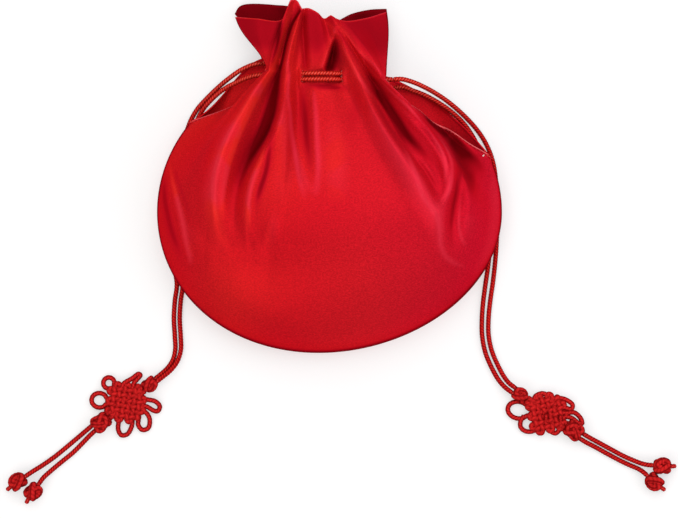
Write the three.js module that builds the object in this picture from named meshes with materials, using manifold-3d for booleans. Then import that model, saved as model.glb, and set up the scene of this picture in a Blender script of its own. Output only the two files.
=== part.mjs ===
// A satin drawstring pouch lying on its back, drawn shut. Two braided drawstrings pass through the neck,
// show side by side across the front, and leave at the side slits. Each pair of legs ends in a button knot,
// an endless knot, a second button knot and two knotted tails.
// Millimetres, +Z up, +Y towards the mouth. The origin is on the ground under the middle of the pouch.
import * as THREE from "three";
import { mergeVertices } from "three/addons/utils/BufferGeometryUtils.js";
import Module from "manifold-3d";

const wasm = await Module();
wasm.setup();

// Pouch outline, seen from above
const HALF_WIDTH = 86.25; // from the middle to the side seam at the widest row
const WIDEST_ROW_Y = -17.5;
const LOWER_REACH = 70.5; // from the widest row down to the bottom of the seam
const UPPER_REACH = 76; // the same ellipse's reach above the widest row
const LOWER_LEAN = 5.5; // how far the bottom of the seam hangs over to the left
const LEFT_SLIT_END = 143; // seam angles, in degrees, where the side slits begin
const RIGHT_SLIT_END = 382;

// Pouch section
const CLOTH = 1; // satin and its turned-in facing together
const SEAM_HEIGHT = 10; // the seam's height above the ground
const SEAM_GAP = 0.3; // between the two panels' edges at the seam
const FRONT_SEAM_HEIGHT = SEAM_HEIGHT + SEAM_GAP / 2;
const BACK_SEAM_HEIGHT = SEAM_HEIGHT - SEAM_GAP / 2;
const CROWN = 53; // how strongly the front panel swells
const FOLD_DEPTH = 1.4; // how far the gathers stand out just below the neck
const FOLD_REACH = 0.24; // share of the way to the seam at which they are deepest
const NECK_EDGE_LEVEL = 20; // mean height of the front gathers at the slits
const NECK_MID_RISE = 6; // and how much higher they are in the middle
const FLOOR_FROM = 0.3; // shares of the way to the seam between which the back panel
const FLOOR_TO = 0.7; // lies flat on the ground
const FLOOR_TO_AT_SLITS = 0.25; // the same limit at the slits, which lift the cloth off the legs there
const FLARE = 1.4; // above 1, the ruffle spreads late on its way to the rim

// Drawstrings and their knots
const CORD = 2.5; // diameter
const JOIN_GAP = 0.4; // between a cord's end and what it runs into
const LEFT_BUTTONHOLE = [-17.7, -10.8]; // where each buttonhole begins and ends, along X
const RIGHT_BUTTONHOLE = [2.8, 8.6];
const BUTTONHOLE_CLEARANCE = 0.45; // above the upper drawstring and below the lower one
const CORD_SIDES = 8;
const CORD_STEP = 2.8 * CORD; // between the rings of a cord's mesh
const KNOT_STRANDS = 6; // strands each way in an endless knot
const STRAND_RELIEF = 0.6; // how far each crossing stands out
const UPPER_BUTTON = { radius: 3.7, half: 3.6 };
const LOWER_BUTTON = { radius: 4.5, half: 4.4 };
const TAIL_KNOT = { radius: 4.2, half: 4.4 };
const TAIL_STUB = 2.4; // cord left over beyond each tail knot
const BARREL_SEGMENTS = 12;

// Mesh density of the panels
const FRONT_ROWS = { body: 20, ruffle: 6 };
const FRONT_COLUMNS_PER_FOLD = 5;
const CREASE_STEPS = 60; // along each crease
const BACK_ROWS = { body: 12, ruffle: 4 };
const BACK_COLUMNS_PER_FOLD = 3;

// The front panel's fold lines, left to right: where each crosses the neck, where it meets the rim, the seam
// angle that it runs down to, how far it bows outwards on the way, and how far two thirds of the way down.
const FRONT_FOLDS = [
  { neck: [-31.75, 54.5, 19.5], rim: [-47.25, 80, 10], seam: LEFT_SLIT_END, bow: -7, late: -1 }, // left flare's edge
  { neck: [-31.25, 54, 20], rim: [-36.25, 78.5, 15], seam: 163, bow: -2 },
  { neck: [-30.75, 53.5, 21], rim: [-24.25, 75, 16], seam: 196, bow: 6 }, // tucked behind the left fold
  { neck: [-29.75, 52.5, 29], rim: [-19.75, 86.5, 25], seam: 226, bow: 11 }, // left main fold
  { neck: [-25.25, 52, 24.5], rim: [-16.75, 88, 22], seam: 232, bow: 7 },
  { neck: [-21.25, 51.5, 28.5], rim: [-13.75, 83, 25], seam: 239, bow: 3 }, // second left fold
  { neck: [-19, 51, 27], rim: [-13.25, 83.25, 24], seam: 247, bow: -3 },
  { neck: [-15.75, 50.75, 23.5], rim: [-12.5, 83.75, 21], seam: 253, bow: -2 },
  { neck: [-12.25, 50.5, 24], rim: [-10.25, 83.75, 23], seam: 260, bow: 0 }, // middle tongue
  { neck: [-2.25, 50, 24.5], rim: [-5.75, 81.5, 23.5], seam: 290, bow: 0 },
  { neck: [5.25, 50, 22.5], rim: [-2.75, 78.75, 21], seam: 317, bow: 0 },
  { neck: [13.75, 49.5, 29], rim: [0.75, 80, 26], seam: 330, bow: 0 }, // right main fold
  { neck: [20.25, 49, 25], rim: [3.75, 78.5, 23], seam: 336, bow: 4 },
  { neck: [25.75, 48.75, 28.5], rim: [7.75, 77.5, 22], seam: 343, bow: 7 }, // second right fold
  { neck: [27, 48.75, 22], rim: [18.25, 79.25, 15], seam: 359, bow: 2 },
  { neck: [28, 49, 19.5], rim: [28.25, 82.5, 10], seam: RIGHT_SLIT_END, bow: -2, late: 1 }, // right flare's edge
];

// The back panel's fold lines, on the ground side.
const BACK_FOLDS = [
  { neck: [-34, 59.5, 1.5], rim: [-47.5, 82, 2], seam: LEFT_SLIT_END, bow: 4.4, late: -4.6 },
  { neck: [-27, 50, 3.2], rim: [-44.5, 86, 3], seam: 176, bow: 1 },
  { neck: [-18, 50, 0.8], rim: [-27, 86.5, 1], seam: 212, bow: 0 },
  { neck: [-10, 50, 3.2], rim: [-17, 85, 4], seam: 240, bow: 0 },
  { neck: [-1, 50, 0.8], rim: [-7, 80, 1.5], seam: 264, bow: 0 },
  { neck: [8, 49.5, 3.2], rim: [1, 77.5, 4], seam: 290, bow: 0 },
  { neck: [17, 49, 0.8], rim: [11, 82, 1.5], seam: 318, bow: 0 },
  { neck: [25, 47.5, 3.2], rim: [20, 84, 3], seam: 350, bow: 2 },
  { neck: [28.2, 50.6, 1.5], rim: [28.5, 84.5, 2], seam: RIGHT_SLIT_END, bow: 4.6 },
];
const BOW_PLACE = 0.42; // share of the way from the neck to the seam at which a fold line bows most

// The front panel's main creases below the neck. Each course is [x, y, rise], with a negative rise in a valley.
// Left and right are how far the crease spreads to each side of that walk, and it widens to spread times as much
// by its end.
const FRONT_CREASES = [
  {
    // left main ridge
    course: [
      [-34.8, 42.2, 0.5], [-42.2, 32, 1.5], [-48.75, 23, 2.2], [-52.6, 14, 2.6], [-55.25, 4, 3], [-57, -6, 3],
      [-57, -14, 2.8], [-55.25, -22.5, 2.2], [-51.25, -32.5, 1.2], [-46.25, -40, 0],
    ],
    left: 5, right: 3.6, spread: 1.4,
  },
  {
    // the deep valley beside it
    course: [
      [-25.4, 52, -2.5], [-26.4, 42.2, -6], [-29, 32.2, -7.5], [-33, 23, -7.5], [-38.6, 13.5, -6.5],
      [-43.2, 3.5, -5], [-46.2, -8, -3.6], [-46.8, -20, -2.2], [-44.1, -32, -1], [-41, -44, 0],
    ],
    left: 2.8, right: 6.5, spread: 1.15,
  },
  {
    // the ridge on the valley's other side
    course: [
      [-24.5, 35, 0.4], [-27.8, 25, 1.4], [-31, 17, 2], [-34.75, 8.5, 2.2], [-38.3, -0.25, 2.2],
      [-39.75, -9, 2], [-40.4, -19, 1.6], [-39.9, -29, 0.9], [-39, -40, 0],
    ],
    left: 4, right: 2.2, spread: 1.5,
  },
  {
    // a straight ridge and a shallow valley under the left buttonhole
    course: [
      [-23.8, 44, 0.8], [-23, 32, 1.8], [-22.3, 18, 1.8], [-21.6, 6, 1.4], [-22.4, -8, 0.8], [-25.5, -20, 0],
    ],
    left: 2.8, right: 5, spread: 1.6,
  },
  {
    course: [
      [-16, 46, -1], [-15.2, 38, -2.4], [-14.8, 27, -3], [-14.6, 15, -2.6], [-12.4, 3, -1.8], [-8.6, -6.5, -0.8],
      [-5, -14, 0],
    ],
    left: 6, right: 2.8, spread: 1.4,
  },
  {
    // right main ridge
    course: [
      [17.8, 47.2, 0.6], [22.1, 35, 1.6], [26, 26, 2.2], [32.75, 14.75, 2.6], [39, 4.75, 2.8],
      [45.25, -5.25, 2.8], [50.2, -13.5, 2.4], [53.6, -19, 1.5],
    ],
    left: 3, right: 5.5, spread: 1.3,
  },
  {
    // the valley beside it
    course: [
      [19, 51, -1.5], [21.4, 42.2, -5], [25.6, 33.5, -6.6], [30.4, 25, -7], [36.2, 16.4, -6.8],
      [41.8, 9.4, -6], [47.6, 2, -5], [51.6, -6, -3.2], [53.4, -12, -0.8],
    ],
    left: 6.5, right: 2.5, spread: 0.9,
  },
  {
    // second right ridge, which curls round the foot of the valley
    course: [
      [27.8, 47.2, 0.3], [36.5, 38.9, 1.5], [45.25, 29.75, 2.4], [52.75, 21.4, 3], [57.75, 14.6, 3.4],
      [60.9, 6, 3.4], [60.9, -2.75, 3], [58.6, -10.5, 2.4], [55.2, -16.2, 1.2],
    ],
    left: 2.6, right: 2.8, spread: 1.2,
  },
  {
    // the pocket under the right slit's hem, and the valley that runs down from it
    course: [
      [42, 34.5, -1], [49, 28.6, -4.4], [56, 23, -6.6], [62.5, 17.8, -6.6], [68.5, 12, -4], [73, 6, 0],
    ],
    left: 2.4, right: 5.5, spread: 1.2,
  },
  {
    course: [
      [59, 20, -1], [62.6, 11, -3.6], [64, 2, -4.4], [63.6, -6, -3.8], [62, -16, -2.8], [60.8, -27, -1.6],
      [63, -40, 0],
    ],
    left: 3.6, right: 2.6, spread: 1.3,
  },
];

// Cord routes, from the neck outwards. The left drawstring's two legs leave on the left.
const LEFT_NECK_ROUTE = [
  [-33.2, 51, 14.9], [-28, 51.1, 15], [-23, 51.2, 15.6], [-19, 51.25, 17.6], [-15.3, 51.25, 21.2],
  [-11.5, 51.25, 25.4], [-7, 51.25, 26.8], [-3, 51.25, 26.9], [1, 51.2, 26.6], [3.8, 51.2, 24.7],
  [6.6, 51.2, 21.3], [10, 51.2, 18.2], [13.5, 51.3, 16.8], [17.5, 51.4, 16.3], [21.5, 51.6, 16.2],
  [25, 52.4, 15], [26.8, 54.2, 12], [25.1, 56.4, 8.8], [21.5, 57.2, 7.4], [15, 57.4, 7.2],
  [5, 57.4, 7.2], [-10, 57.4, 7.2], [-24, 57.3, 7.2], [-33.5, 57, 7.2],
];
const RIGHT_NECK_ROUTE = [
  [31.5, 48.6, 15.4], [26, 48.5, 15.6], [20, 48.5, 16], [14, 48.45, 16.6], [10, 48.4, 18.2],
  [6.6, 48.4, 21.3], [3.8, 48.4, 24.7], [1, 48.4, 26.6], [-3, 48.4, 26.9], [-7, 48.4, 26.8],
  [-11.5, 48.4, 25.4], [-15.3, 48.4, 21.2], [-19, 48.4, 17.6], [-23, 48.4, 16.2], [-27.5, 48.2, 15.6],
  [-31, 47.2, 14], [-32.6, 45.4, 11], [-31, 43.6, 8.4], [-27.5, 42.9, 7.3], [-18, 42.7, 7],
  [-5, 42.6, 7], [10, 42.7, 7], [22, 43, 7.2], [32, 44.5, 7.2],
];

// The point just clear of a route's end, where the next cord begins.
function leaving(route) {
  const [before, end] = route.slice(-2).map((point) => new THREE.Vector3(...point));
  return end.addScaledVector(end.clone().sub(before).normalize(), JOIN_GAP).toArray();
}

const LEFT_BACK_LEG_ROUTE = [
  leaving(LEFT_NECK_ROUTE), [-37.8, 56.4, 7.1], [-44.4, 53.6, 6.2], [-50.8, 49.2, 4.4], [-56, 44.9, 3],
  [-61.4, 39.7, 1.8], [-65.8, 34.9, 1.35], [-69.2, 29.4, 1.3], [-71, 25, 1.3], [-73.4, 18, 1.3],
  [-76.4, 11, 1.3], [-80, 1, 1.3], [-82, -11, 1.3], [-82, -24, 1.3], [-80.2, -36, 1.3],
  [-77.6, -47, 1.3], [-76.6, -54, 1.3], [-77.6, -62, 1.3], [-78.1, -71, 1.3], [-77.6, -80, 1.3],
  [-77.4, -86.4, 1.3], [-78.6, -91.6, 1.3], [-81.2, -95.6, 1.4], [-84.4, -98.6, 2], [-87.3, -100.9, 2.5],
];
const LEFT_FRONT_LEG_ROUTE = [
  leaving(LEFT_NECK_ROUTE.toReversed()), [-37.6, 50.5, 13.8], [-42.6, 49, 11.8], [-47.4, 46.9, 9.5],
  [-51.6, 44.8, 7.6], [-55.4, 42.2, 6.2], [-59, 39, 5.2], [-62.2, 35.6, 4.3], [-64.8, 31.8, 3.2],
  [-66.6, 27.9, 2], [-68, 24.2, 1.4], [-70.5, 17.4, 1.3], [-73.5, 10, 1.3], [-77, 0.3, 1.3],
  [-79, -11.5, 1.3], [-79, -23.8, 1.3], [-77.2, -35.5, 1.3], [-74.7, -46.3, 1.3], [-73.7, -54.2, 1.3],
  [-74.7, -62.2, 1.3], [-75.2, -71, 1.3], [-74.7, -79.8, 1.4], [-74.6, -86.6, 2.2], [-76.5, -92.6, 3.1],
  [-79.8, -96.9, 3.8], [-83.4, -99.9, 4.4], [-86.3, -102.2, 4.8],
];
const RIGHT_FRONT_LEG_ROUTE = [
  leaving(RIGHT_NECK_ROUTE.toReversed()), [36.2, 48.7, 14.9], [41.5, 47.4, 12.4], [46.5, 45.4, 9.6],
  [53.2, 41.9, 6.4], [60.2, 37.2, 3.6], [67.8, 30.6, 1.6], [74.6, 23, 1.3], [78.9, 16, 1.3],
  [81.9, 8, 1.3], [83.4, -1, 1.3], [84, -12, 1.3], [84.1, -23, 1.3], [83.8, -33, 1.3],
  [83.1, -42.5, 1.3], [82, -52.5, 1.3], [80.7, -61.5, 1.3], [79.8, -70.5, 1.3], [79.8, -79, 1.3],
  [81.4, -87, 1.3], [84.6, -94.6, 1.3], [87.4, -99.8, 1.7], [90, -103.2, 2.8], [92.7, -105.3, 3.5],
];
const RIGHT_BACK_LEG_ROUTE = [
  leaving(RIGHT_NECK_ROUTE), [36.6, 45, 7.2], [42, 43.2, 6.6], [47.8, 41, 5.8], [53.4, 38, 5],
  [57.8, 35.2, 4.4], [61.2, 32.7, 3.5], [64.6, 29.8, 2.3], [67.6, 26.6, 1.5], [70.4, 22.8, 1.3],
  [73.6, 17.2, 1.3], [77.2, 7.6, 1.3], [79.8, -3.5, 1.3], [80.9, -15, 1.3], [81.1, -26, 1.3],
  [80.4, -36, 1.3], [79.5, -45, 1.3], [78.2, -54, 1.3], [77.1, -62.5, 1.3], [76.5, -70.5, 1.3],
  [76.6, -79.6, 1.3], [78.3, -88.2, 1.3], [81.9, -96.6, 1.3], [85, -101.9, 1.7], [88.1, -105.4, 2.8],
  [91.1, -107.7, 3.5],
];
const LEFT_TAIL_A_ROUTE = [
  [-119.6, -125, 4.2], [-122, -127, 2.9], [-126, -130.4, 1.6], [-131.6, -135.1, 1.3],
  [-137.6, -140, 1.3], [-144, -144.5, 1.8], [-149, -147.6, 3.2], [-152.4, -149.9, 4],
];
const LEFT_TAIL_B_ROUTE = [
  [-117.8, -127.3, 4.2], [-120.2, -129.5, 2.9], [-123.8, -133.2, 1.6], [-128.8, -138.2, 1.3],
  [-134.2, -142.6, 1.3], [-139.7, -147.2, 1.8], [-143.5, -150.7, 3.2], [-145.7, -153.7, 4],
];
const RIGHT_TAIL_A_ROUTE = [
  [127.6, -128.9, 4.2], [130.4, -130.6, 2.9], [135, -133.1, 1.6], [141.2, -136.5, 1.4],
  [147.6, -139.9, 1.7], [152.4, -142, 2.7], [156.4, -143.5, 3.8], [159.6, -144.2, 4.2], [162, -144.4, 4.3],
];
const RIGHT_TAIL_B_ROUTE = [
  [126, -131.3, 4.2], [128.8, -133, 2.9], [133.4, -135.4, 1.6], [139.7, -138.9, 1.3],
  [146.1, -142.3, 1.3], [151, -144.6, 1.3], [154.8, -146.2, 2.1], [157.3, -147.8, 3.3], [159.2, -149.5, 3.8],
];

// Endless knots: the middle, the direction back up the cord in degrees, the bare cord between the woven body
// and each button knot, and each ear as [angle from that direction, reach from the middle, width].
const LEFT_ENDLESS_KNOT = {
  middle: [-102.1, -113.2],
  entry: 37.9,
  upperStem: 0.57,
  lowerStem: 0.47,
  ears: [[27, 18, 6], [92, 17.5, 8.5], [137, 18, 9.5], [-46, 18.5, 8], [-90, 18.5, 9.5], [-134, 18, 8.5]],
};
const RIGHT_ENDLESS_KNOT = {
  middle: [109.2, -118.3],
  entry: 146.4,
  upperStem: 1.77,
  lowerStem: 0.47,
  ears: [[35, 21.5, 9.5], [74, 16.5, 8], [139, 13.5, 8.5], [-44, 13, 8], [-106, 14.5, 9], [-143, 18, 7]],
};
const KNOT_SIDE = 15.6;
const KNOT_CORNER = KNOT_SIDE / Math.SQRT2; // from the middle to a corner of the body
const KNOT_THICKNESS = 4.2;
const KNOT_GROUND_GAP = 0.2;
const KNOT_LIFT = KNOT_GROUND_GAP + STRAND_RELIEF + KNOT_THICKNESS / 2; // the knot's middle above the ground
const EAR_ROOT = 4; // how far out from the middle an ear leaves the body

// Finishes
const SATIN = new THREE.MeshStandardMaterial({ color: 0xc8161e, roughness: 0.38, metalness: 0 });
const SATIN_BACK = new THREE.MeshStandardMaterial({ color: 0xb91019, roughness: 0.42, metalness: 0 });
const BRAID = new THREE.MeshStandardMaterial({ color: 0xc41a17, roughness: 0.6, metalness: 0 });

const vector = (point) => new THREE.Vector3(...point);

// Solids and booleans

function solidOf(geometry) {
  const bare = geometry.clone();
  bare.deleteAttribute("normal");
  bare.deleteAttribute("uv");
  const merged = mergeVertices(bare, 1e-4);
  const vertProperties = new Float32Array(merged.attributes.position.array);
  const triVerts = new Uint32Array(merged.index.array);
  return new wasm.Manifold(new wasm.Mesh({ numProp: 3, vertProperties, triVerts }));
}

function geometryOf(solid) {
  const mesh = solid.getMesh();
  const geometry = new THREE.BufferGeometry();
  geometry.setAttribute("position", new THREE.BufferAttribute(mesh.vertProperties, 3));
  geometry.setIndex(new THREE.BufferAttribute(mesh.triVerts, 1));
  return geometry;
}

// A closed sheet between two grids of points: top(column, row) and bottom(column, row), both walked left to
// right and then towards +Y.
function sheetGeometry(top, bottom, columns, rows) {
  const across = columns + 1;
  const layer = across * (rows + 1);
  const positions = [];
  for (const side of [top, bottom])
    for (let row = 0; row <= rows; row++)
      for (let column = 0; column <= columns; column++)
        positions.push(...side(column, row).toArray());
  const triangles = [];
  const quad = (a, b, c, d) => triangles.push(a, b, c, a, c, d);
  const upper = (column, row) => row * across + column;
  const lower = (column, row) => layer + upper(column, row);
  for (let row = 0; row < rows; row++)
    for (let column = 0; column < columns; column++) {
      quad(upper(column, row), upper(column + 1, row), upper(column + 1, row + 1), upper(column, row + 1));
      quad(lower(column, row), lower(column, row + 1), lower(column + 1, row + 1), lower(column + 1, row));
    }
  for (let column = 0; column < columns; column++) {
    quad(lower(column, 0), lower(column + 1, 0), upper(column + 1, 0), upper(column, 0));
    quad(upper(column, rows), upper(column + 1, rows), lower(column + 1, rows), lower(column, rows));
  }
  for (let row = 0; row < rows; row++) {
    quad(upper(0, row), upper(0, row + 1), lower(0, row + 1), lower(0, row));
    quad(lower(columns, row), lower(columns, row + 1), upper(columns, row + 1), upper(columns, row));
  }
  const geometry = new THREE.BufferGeometry();
  geometry.setAttribute("position", new THREE.Float32BufferAttribute(positions, 3));
  geometry.setIndex(triangles);
  return geometry;
}

// Pouch panels

// The seam seen from above: an ellipse with a deeper lower half that leans to the left.
function seamPoint(degrees, height) {
  const angle = THREE.MathUtils.degToRad(degrees);
  const below = Math.min(0, Math.sin(angle));
  const reach = below < 0 ? LOWER_REACH : UPPER_REACH;
  return new THREE.Vector3(
    HALF_WIDTH * Math.cos(angle) - LOWER_LEAN * below * below,
    WIDEST_ROW_Y + reach * Math.sin(angle),
    height,
  );
}

// A panel's fold lines as smooth curves across the panel, and its grid of points seen from above.
// heights(fold, share, place) gives the outer face's height a share of the way from the neck to the seam.
function panelGrid(folds, rows, columnsPerFold, seamHeight, heights) {
  const necks = new THREE.CatmullRomCurve3(folds.map((fold) => vector(fold.neck)));
  const rims = new THREE.CatmullRomCurve3(folds.map((fold) => vector(fold.rim)));
  const courses = new THREE.CatmullRomCurve3(
    folds.map(({ seam, bow, late = 0 }) => new THREE.Vector3(seam, bow, late)),
  );
  const columns = (folds.length - 1) * columnsPerFold;
  const middle = new THREE.Vector3(0, WIDEST_ROW_Y, 0);

  function point(column, row) {
    const across = column / columns;
    const neck = necks.getPoint(across);
    if (row > rows.body) {
      const climb = (row - rows.body) / rows.ruffle;
      const rim = rims.getPoint(across);
      return new THREE.Vector3(
        THREE.MathUtils.lerp(neck.x, rim.x, climb ** FLARE),
        THREE.MathUtils.lerp(neck.y, rim.y, climb),
        THREE.MathUtils.lerp(neck.z, rim.z, THREE.MathUtils.smoothstep(climb, 0, 1)),
      );
    }
    const share = 1 - row / rows.body;
    const course = courses.getPoint(across);
    const seam = seamPoint(course.x, seamHeight);
    const turn = neck.clone().lerp(seam, BOW_PLACE);
    const outward = turn.clone().sub(middle).setZ(0).normalize();
    turn.addScaledVector(outward, 2 * course.y);
    const path = new THREE.QuadraticBezierCurve3(neck, turn, seam).getPoint(share);
    path.addScaledVector(outward, course.z * 6.75 * share ** 2 * (1 - share));
    const edge = Math.abs(2 * across - 1);
    return path.setZ(heights({ edge, neck }, share, path));
  }

  // Which way the cloth's outer face looks: sideways at the seam, and straight out elsewhere.
  function facing(column, row, up) {
    const share = Math.max(0, 1 - row / rows.body);
    const sideways = share ** 6;
    const seam = seamPoint(courses.getPoint(column / columns).x, 0);
    const outward = seam.sub(middle).setZ(0).normalize().multiplyScalar(sideways);
    return outward.add(new THREE.Vector3(0, 0, up * (1 - sideways))).normalize();
  }

  return { columns, rows: rows.body + rows.ruffle, point, facing };
}

const creases = FRONT_CREASES.map(({ course, left, right, spread }) => {
  const points = new THREE.CatmullRomCurve3(course.map(vector)).getSpacedPoints(CREASE_STEPS);
  return { points, left, right, spread };
});

// How far the creases lift the front panel at a place seen from above.
function creaseRise({ x, y }) {
  let rise = 0;
  for (const { points, left, right, spread } of creases) {
    const distances = points.map((point) => Math.hypot(x - point.x, y - point.y));
    const step = distances.indexOf(Math.min(...distances));
    const back = points[Math.max(0, step - 1)];
    const front = points[Math.min(CREASE_STEPS, step + 1)];
    const ahead = new THREE.Vector2(front.x - back.x, front.y - back.y).normalize();
    const away = new THREE.Vector2(x - points[step].x, y - points[step].y);
    const along = ahead.dot(away);
    const beside = ahead.cross(away);
    const past = (step === 0 && along < 0) || (step === CREASE_STEPS && along > 0);
    const reach = (beside > 0 ? left : right) * THREE.MathUtils.lerp(1, spread, step / CREASE_STEPS);
    const far = beside ** 2 + (past ? along ** 2 : 0);
    rise += points[step].z * Math.exp(-far / reach ** 2);
  }
  return rise;
}

function frontHeight({ edge, neck }, share, place) {
  const side = 1 - edge ** 3.2;
  const swell = (1 - share ** 2.2) ** 0.6 * share ** 1.3 * (2 - share);
  const gather = neck.z - NECK_EDGE_LEVEL - NECK_MID_RISE * side;
  const along = share / FOLD_REACH;
  const fold = (gather / 3) * FOLD_DEPTH * along * Math.exp(1 - along) * (1 - share);
  const base = THREE.MathUtils.lerp(FRONT_SEAM_HEIGHT, neck.z, (1 - share) ** 1.5);
  return base + CROWN * side * swell + fold + creaseRise(place);
}

function backHeight({ edge, neck }, share) {
  const floorTo = THREE.MathUtils.lerp(FLOOR_TO, FLOOR_TO_AT_SLITS, edge ** 4);
  const towardsSeam = Math.max(0, (share - floorTo) / (1 - floorTo));
  const towardsNeck = Math.max(0, (FLOOR_FROM - share) / FLOOR_FROM);
  return BACK_SEAM_HEIGHT * towardsSeam ** 2 + neck.z * towardsNeck ** 1.5;
}

// The slot that both drawstrings pass through, as an upright prism between two places along X.
function buttonhole([from, to]) {
  const within = (p) => p.x > from && p.x < to && p.z > NECK_EDGE_LEVEL;
  const [upperY, lowerY] = [LEFT_NECK_ROUTE, RIGHT_NECK_ROUTE].map(
    (route) => new THREE.CatmullRomCurve3(route.map(vector)).getPoints(200).find(within).y,
  );
  const depth = upperY - lowerY + CORD + 2 * BUTTONHOLE_CLEARANCE;
  const geometry = new THREE.BoxGeometry(to - from, depth, 2 * NECK_EDGE_LEVEL);
  geometry.translate((from + to) / 2, (upperY + lowerY) / 2, NECK_EDGE_LEVEL);
  return solidOf(geometry);
}

function frontPanel() {
  const grid = panelGrid(FRONT_FOLDS, FRONT_ROWS, FRONT_COLUMNS_PER_FOLD, FRONT_SEAM_HEIGHT, frontHeight);
  const inner = (column, row) => grid.point(column, row).addScaledVector(grid.facing(column, row, 1), -CLOTH);
  const cloth = solidOf(sheetGeometry(grid.point, inner, grid.columns, grid.rows));
  const cut = cloth.subtract(buttonhole(LEFT_BUTTONHOLE)).subtract(buttonhole(RIGHT_BUTTONHOLE));
  return new THREE.Mesh(geometryOf(cut), SATIN);
}

function backPanel() {
  const grid = panelGrid(BACK_FOLDS, BACK_ROWS, BACK_COLUMNS_PER_FOLD, BACK_SEAM_HEIGHT, backHeight);
  const inner = (column, row) => grid.point(column, row).addScaledVector(grid.facing(column, row, -1), -CLOTH);
  return new THREE.Mesh(sheetGeometry(inner, grid.point, grid.columns, grid.rows), SATIN_BACK);
}

// Cords

function cordGeometry(route, sides = CORD_SIDES, step = CORD_STEP) {
  const path = new THREE.CatmullRomCurve3(route.map(vector));
  const section = new THREE.Shape(
    Array.from({ length: sides }, (_, side) => {
      const angle = (2 * Math.PI * side) / sides;
      return new THREE.Vector2(Math.cos(angle), Math.sin(angle)).multiplyScalar(CORD / 2);
    }),
  );
  const steps = Math.ceil(path.getLength() / step);
  return new THREE.ExtrudeGeometry(section, { extrudePath: path, steps, bevelEnabled: false });
}

const cordMesh = (route) => new THREE.Mesh(cordGeometry(route), BRAID);

// Knots

// A rounded barrel along +X with its near face at the origin, and a stub of cord beyond it if asked for.
function barrelGeometry({ radius, half }, stub = 0) {
  const waist = CORD / 2;
  const bulge = [-1, -0.72, -0.3, 0.3, 0.72, 1].map((share) => {
    const round = radius * Math.sqrt(1 - 0.88 * share * share);
    return new THREE.Vector2(Math.max(waist, round), half * (1 + share));
  });
  const end = 2 * half + stub;
  const tip = stub > 0 ? [new THREE.Vector2(waist, 2 * half), new THREE.Vector2(waist, end)] : [];
  const profile = [new THREE.Vector2(0, 0), ...bulge, ...tip, new THREE.Vector2(0, end)];
  return new THREE.LatheGeometry(profile, BARREL_SEGMENTS).rotateZ(-Math.PI / 2);
}

// A barrel knot that carries on from the end of a cord's route.
function knotAfter(route, size, stub) {
  const [before, end] = route.slice(-2).map(vector);
  const along = end.clone().sub(before).setZ(0).normalize();
  const mesh = new THREE.Mesh(barrelGeometry(size, stub), BRAID);
  mesh.position.copy(end).addScaledVector(along, JOIN_GAP).setZ(size.radius);
  mesh.rotation.z = Math.atan2(along.y, along.x);
  return mesh;
}

// A button knot on the endless knot's axis, beyond the body's corner and the bare cord. Direction 1 is back up
// the cord and -1 is towards the tails.
function buttonKnot(knot, size, stemLength, direction) {
  const mesh = new THREE.Mesh(barrelGeometry(size).translate(KNOT_CORNER + stemLength, 0, 0), BRAID);
  mesh.position.set(...knot.middle, size.radius);
  mesh.rotation.z = THREE.MathUtils.degToRad(direction > 0 ? knot.entry : knot.entry + 180);
  return mesh;
}

// The woven body: a square slab, corner to the cord, with a raised crossing in every other cell.
function wovenBody() {
  const cells = 2 * KNOT_STRANDS;
  const place = (cell) => (cell / cells - 0.5) * KNOT_SIDE;
  const face = (side) => (column, row) => {
    const weave = Math.sin((Math.PI * column) / 2) * Math.sin((Math.PI * row) / 2);
    return new THREE.Vector3(
      place(column), place(row), side * (KNOT_THICKNESS / 2 + STRAND_RELIEF * weave));
  };
  return solidOf(sheetGeometry(face(1), face(-1), cells, cells).rotateZ(Math.PI / 4));
}

function ear([degrees, reach, width]) {
  const tip = reach - CORD / 2;
  const belly = tip - width / 3;
  const half = (width - CORD) / 2;
  const root = Math.min(half, CORD / 2);
  const loop = [[EAR_ROOT, -root, 0], [belly, -half, 0], [tip, 0, 0], [belly, half, 0], [EAR_ROOT, root, 0]];
  return solidOf(cordGeometry(loop, 6, CORD).rotateZ(THREE.MathUtils.degToRad(degrees)));
}

// The bare cord between the woven body and a button knot, along the knot's axis.
function stem(stemLength, direction) {
  const end = KNOT_CORNER + stemLength - JOIN_GAP;
  const route = [[direction * EAR_ROOT, 0, 0], [direction * end, 0, 0]];
  return solidOf(cordGeometry(route, 6, CORD));
}

function endlessKnot(knot) {
  const loops = [...knot.ears.map(ear), stem(knot.upperStem, 1), stem(knot.lowerStem, -1)];
  const whole = loops.reduce((sum, loop) => sum.add(loop), wovenBody());
  const mesh = new THREE.Mesh(geometryOf(whole), BRAID);
  mesh.position.set(...knot.middle, KNOT_LIFT);
  mesh.rotation.z = THREE.MathUtils.degToRad(knot.entry);
  return mesh;
}

// Assembly

const lucky_pouch = new THREE.Group();

function add(name, mesh) {
  mesh.name = name;
  lucky_pouch.add(mesh);
}

add("front_panel", frontPanel());
add("back_panel", backPanel());

const SIDES = [
  {
    side: "left",
    neck: LEFT_NECK_ROUTE,
    frontLeg: LEFT_FRONT_LEG_ROUTE,
    backLeg: LEFT_BACK_LEG_ROUTE,
    knot: LEFT_ENDLESS_KNOT,
    tails: { a: LEFT_TAIL_A_ROUTE, b: LEFT_TAIL_B_ROUTE },
  },
  {
    side: "right",
    neck: RIGHT_NECK_ROUTE,
    frontLeg: RIGHT_FRONT_LEG_ROUTE,
    backLeg: RIGHT_BACK_LEG_ROUTE,
    knot: RIGHT_ENDLESS_KNOT,
    tails: { a: RIGHT_TAIL_A_ROUTE, b: RIGHT_TAIL_B_ROUTE },
  },
];

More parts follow.
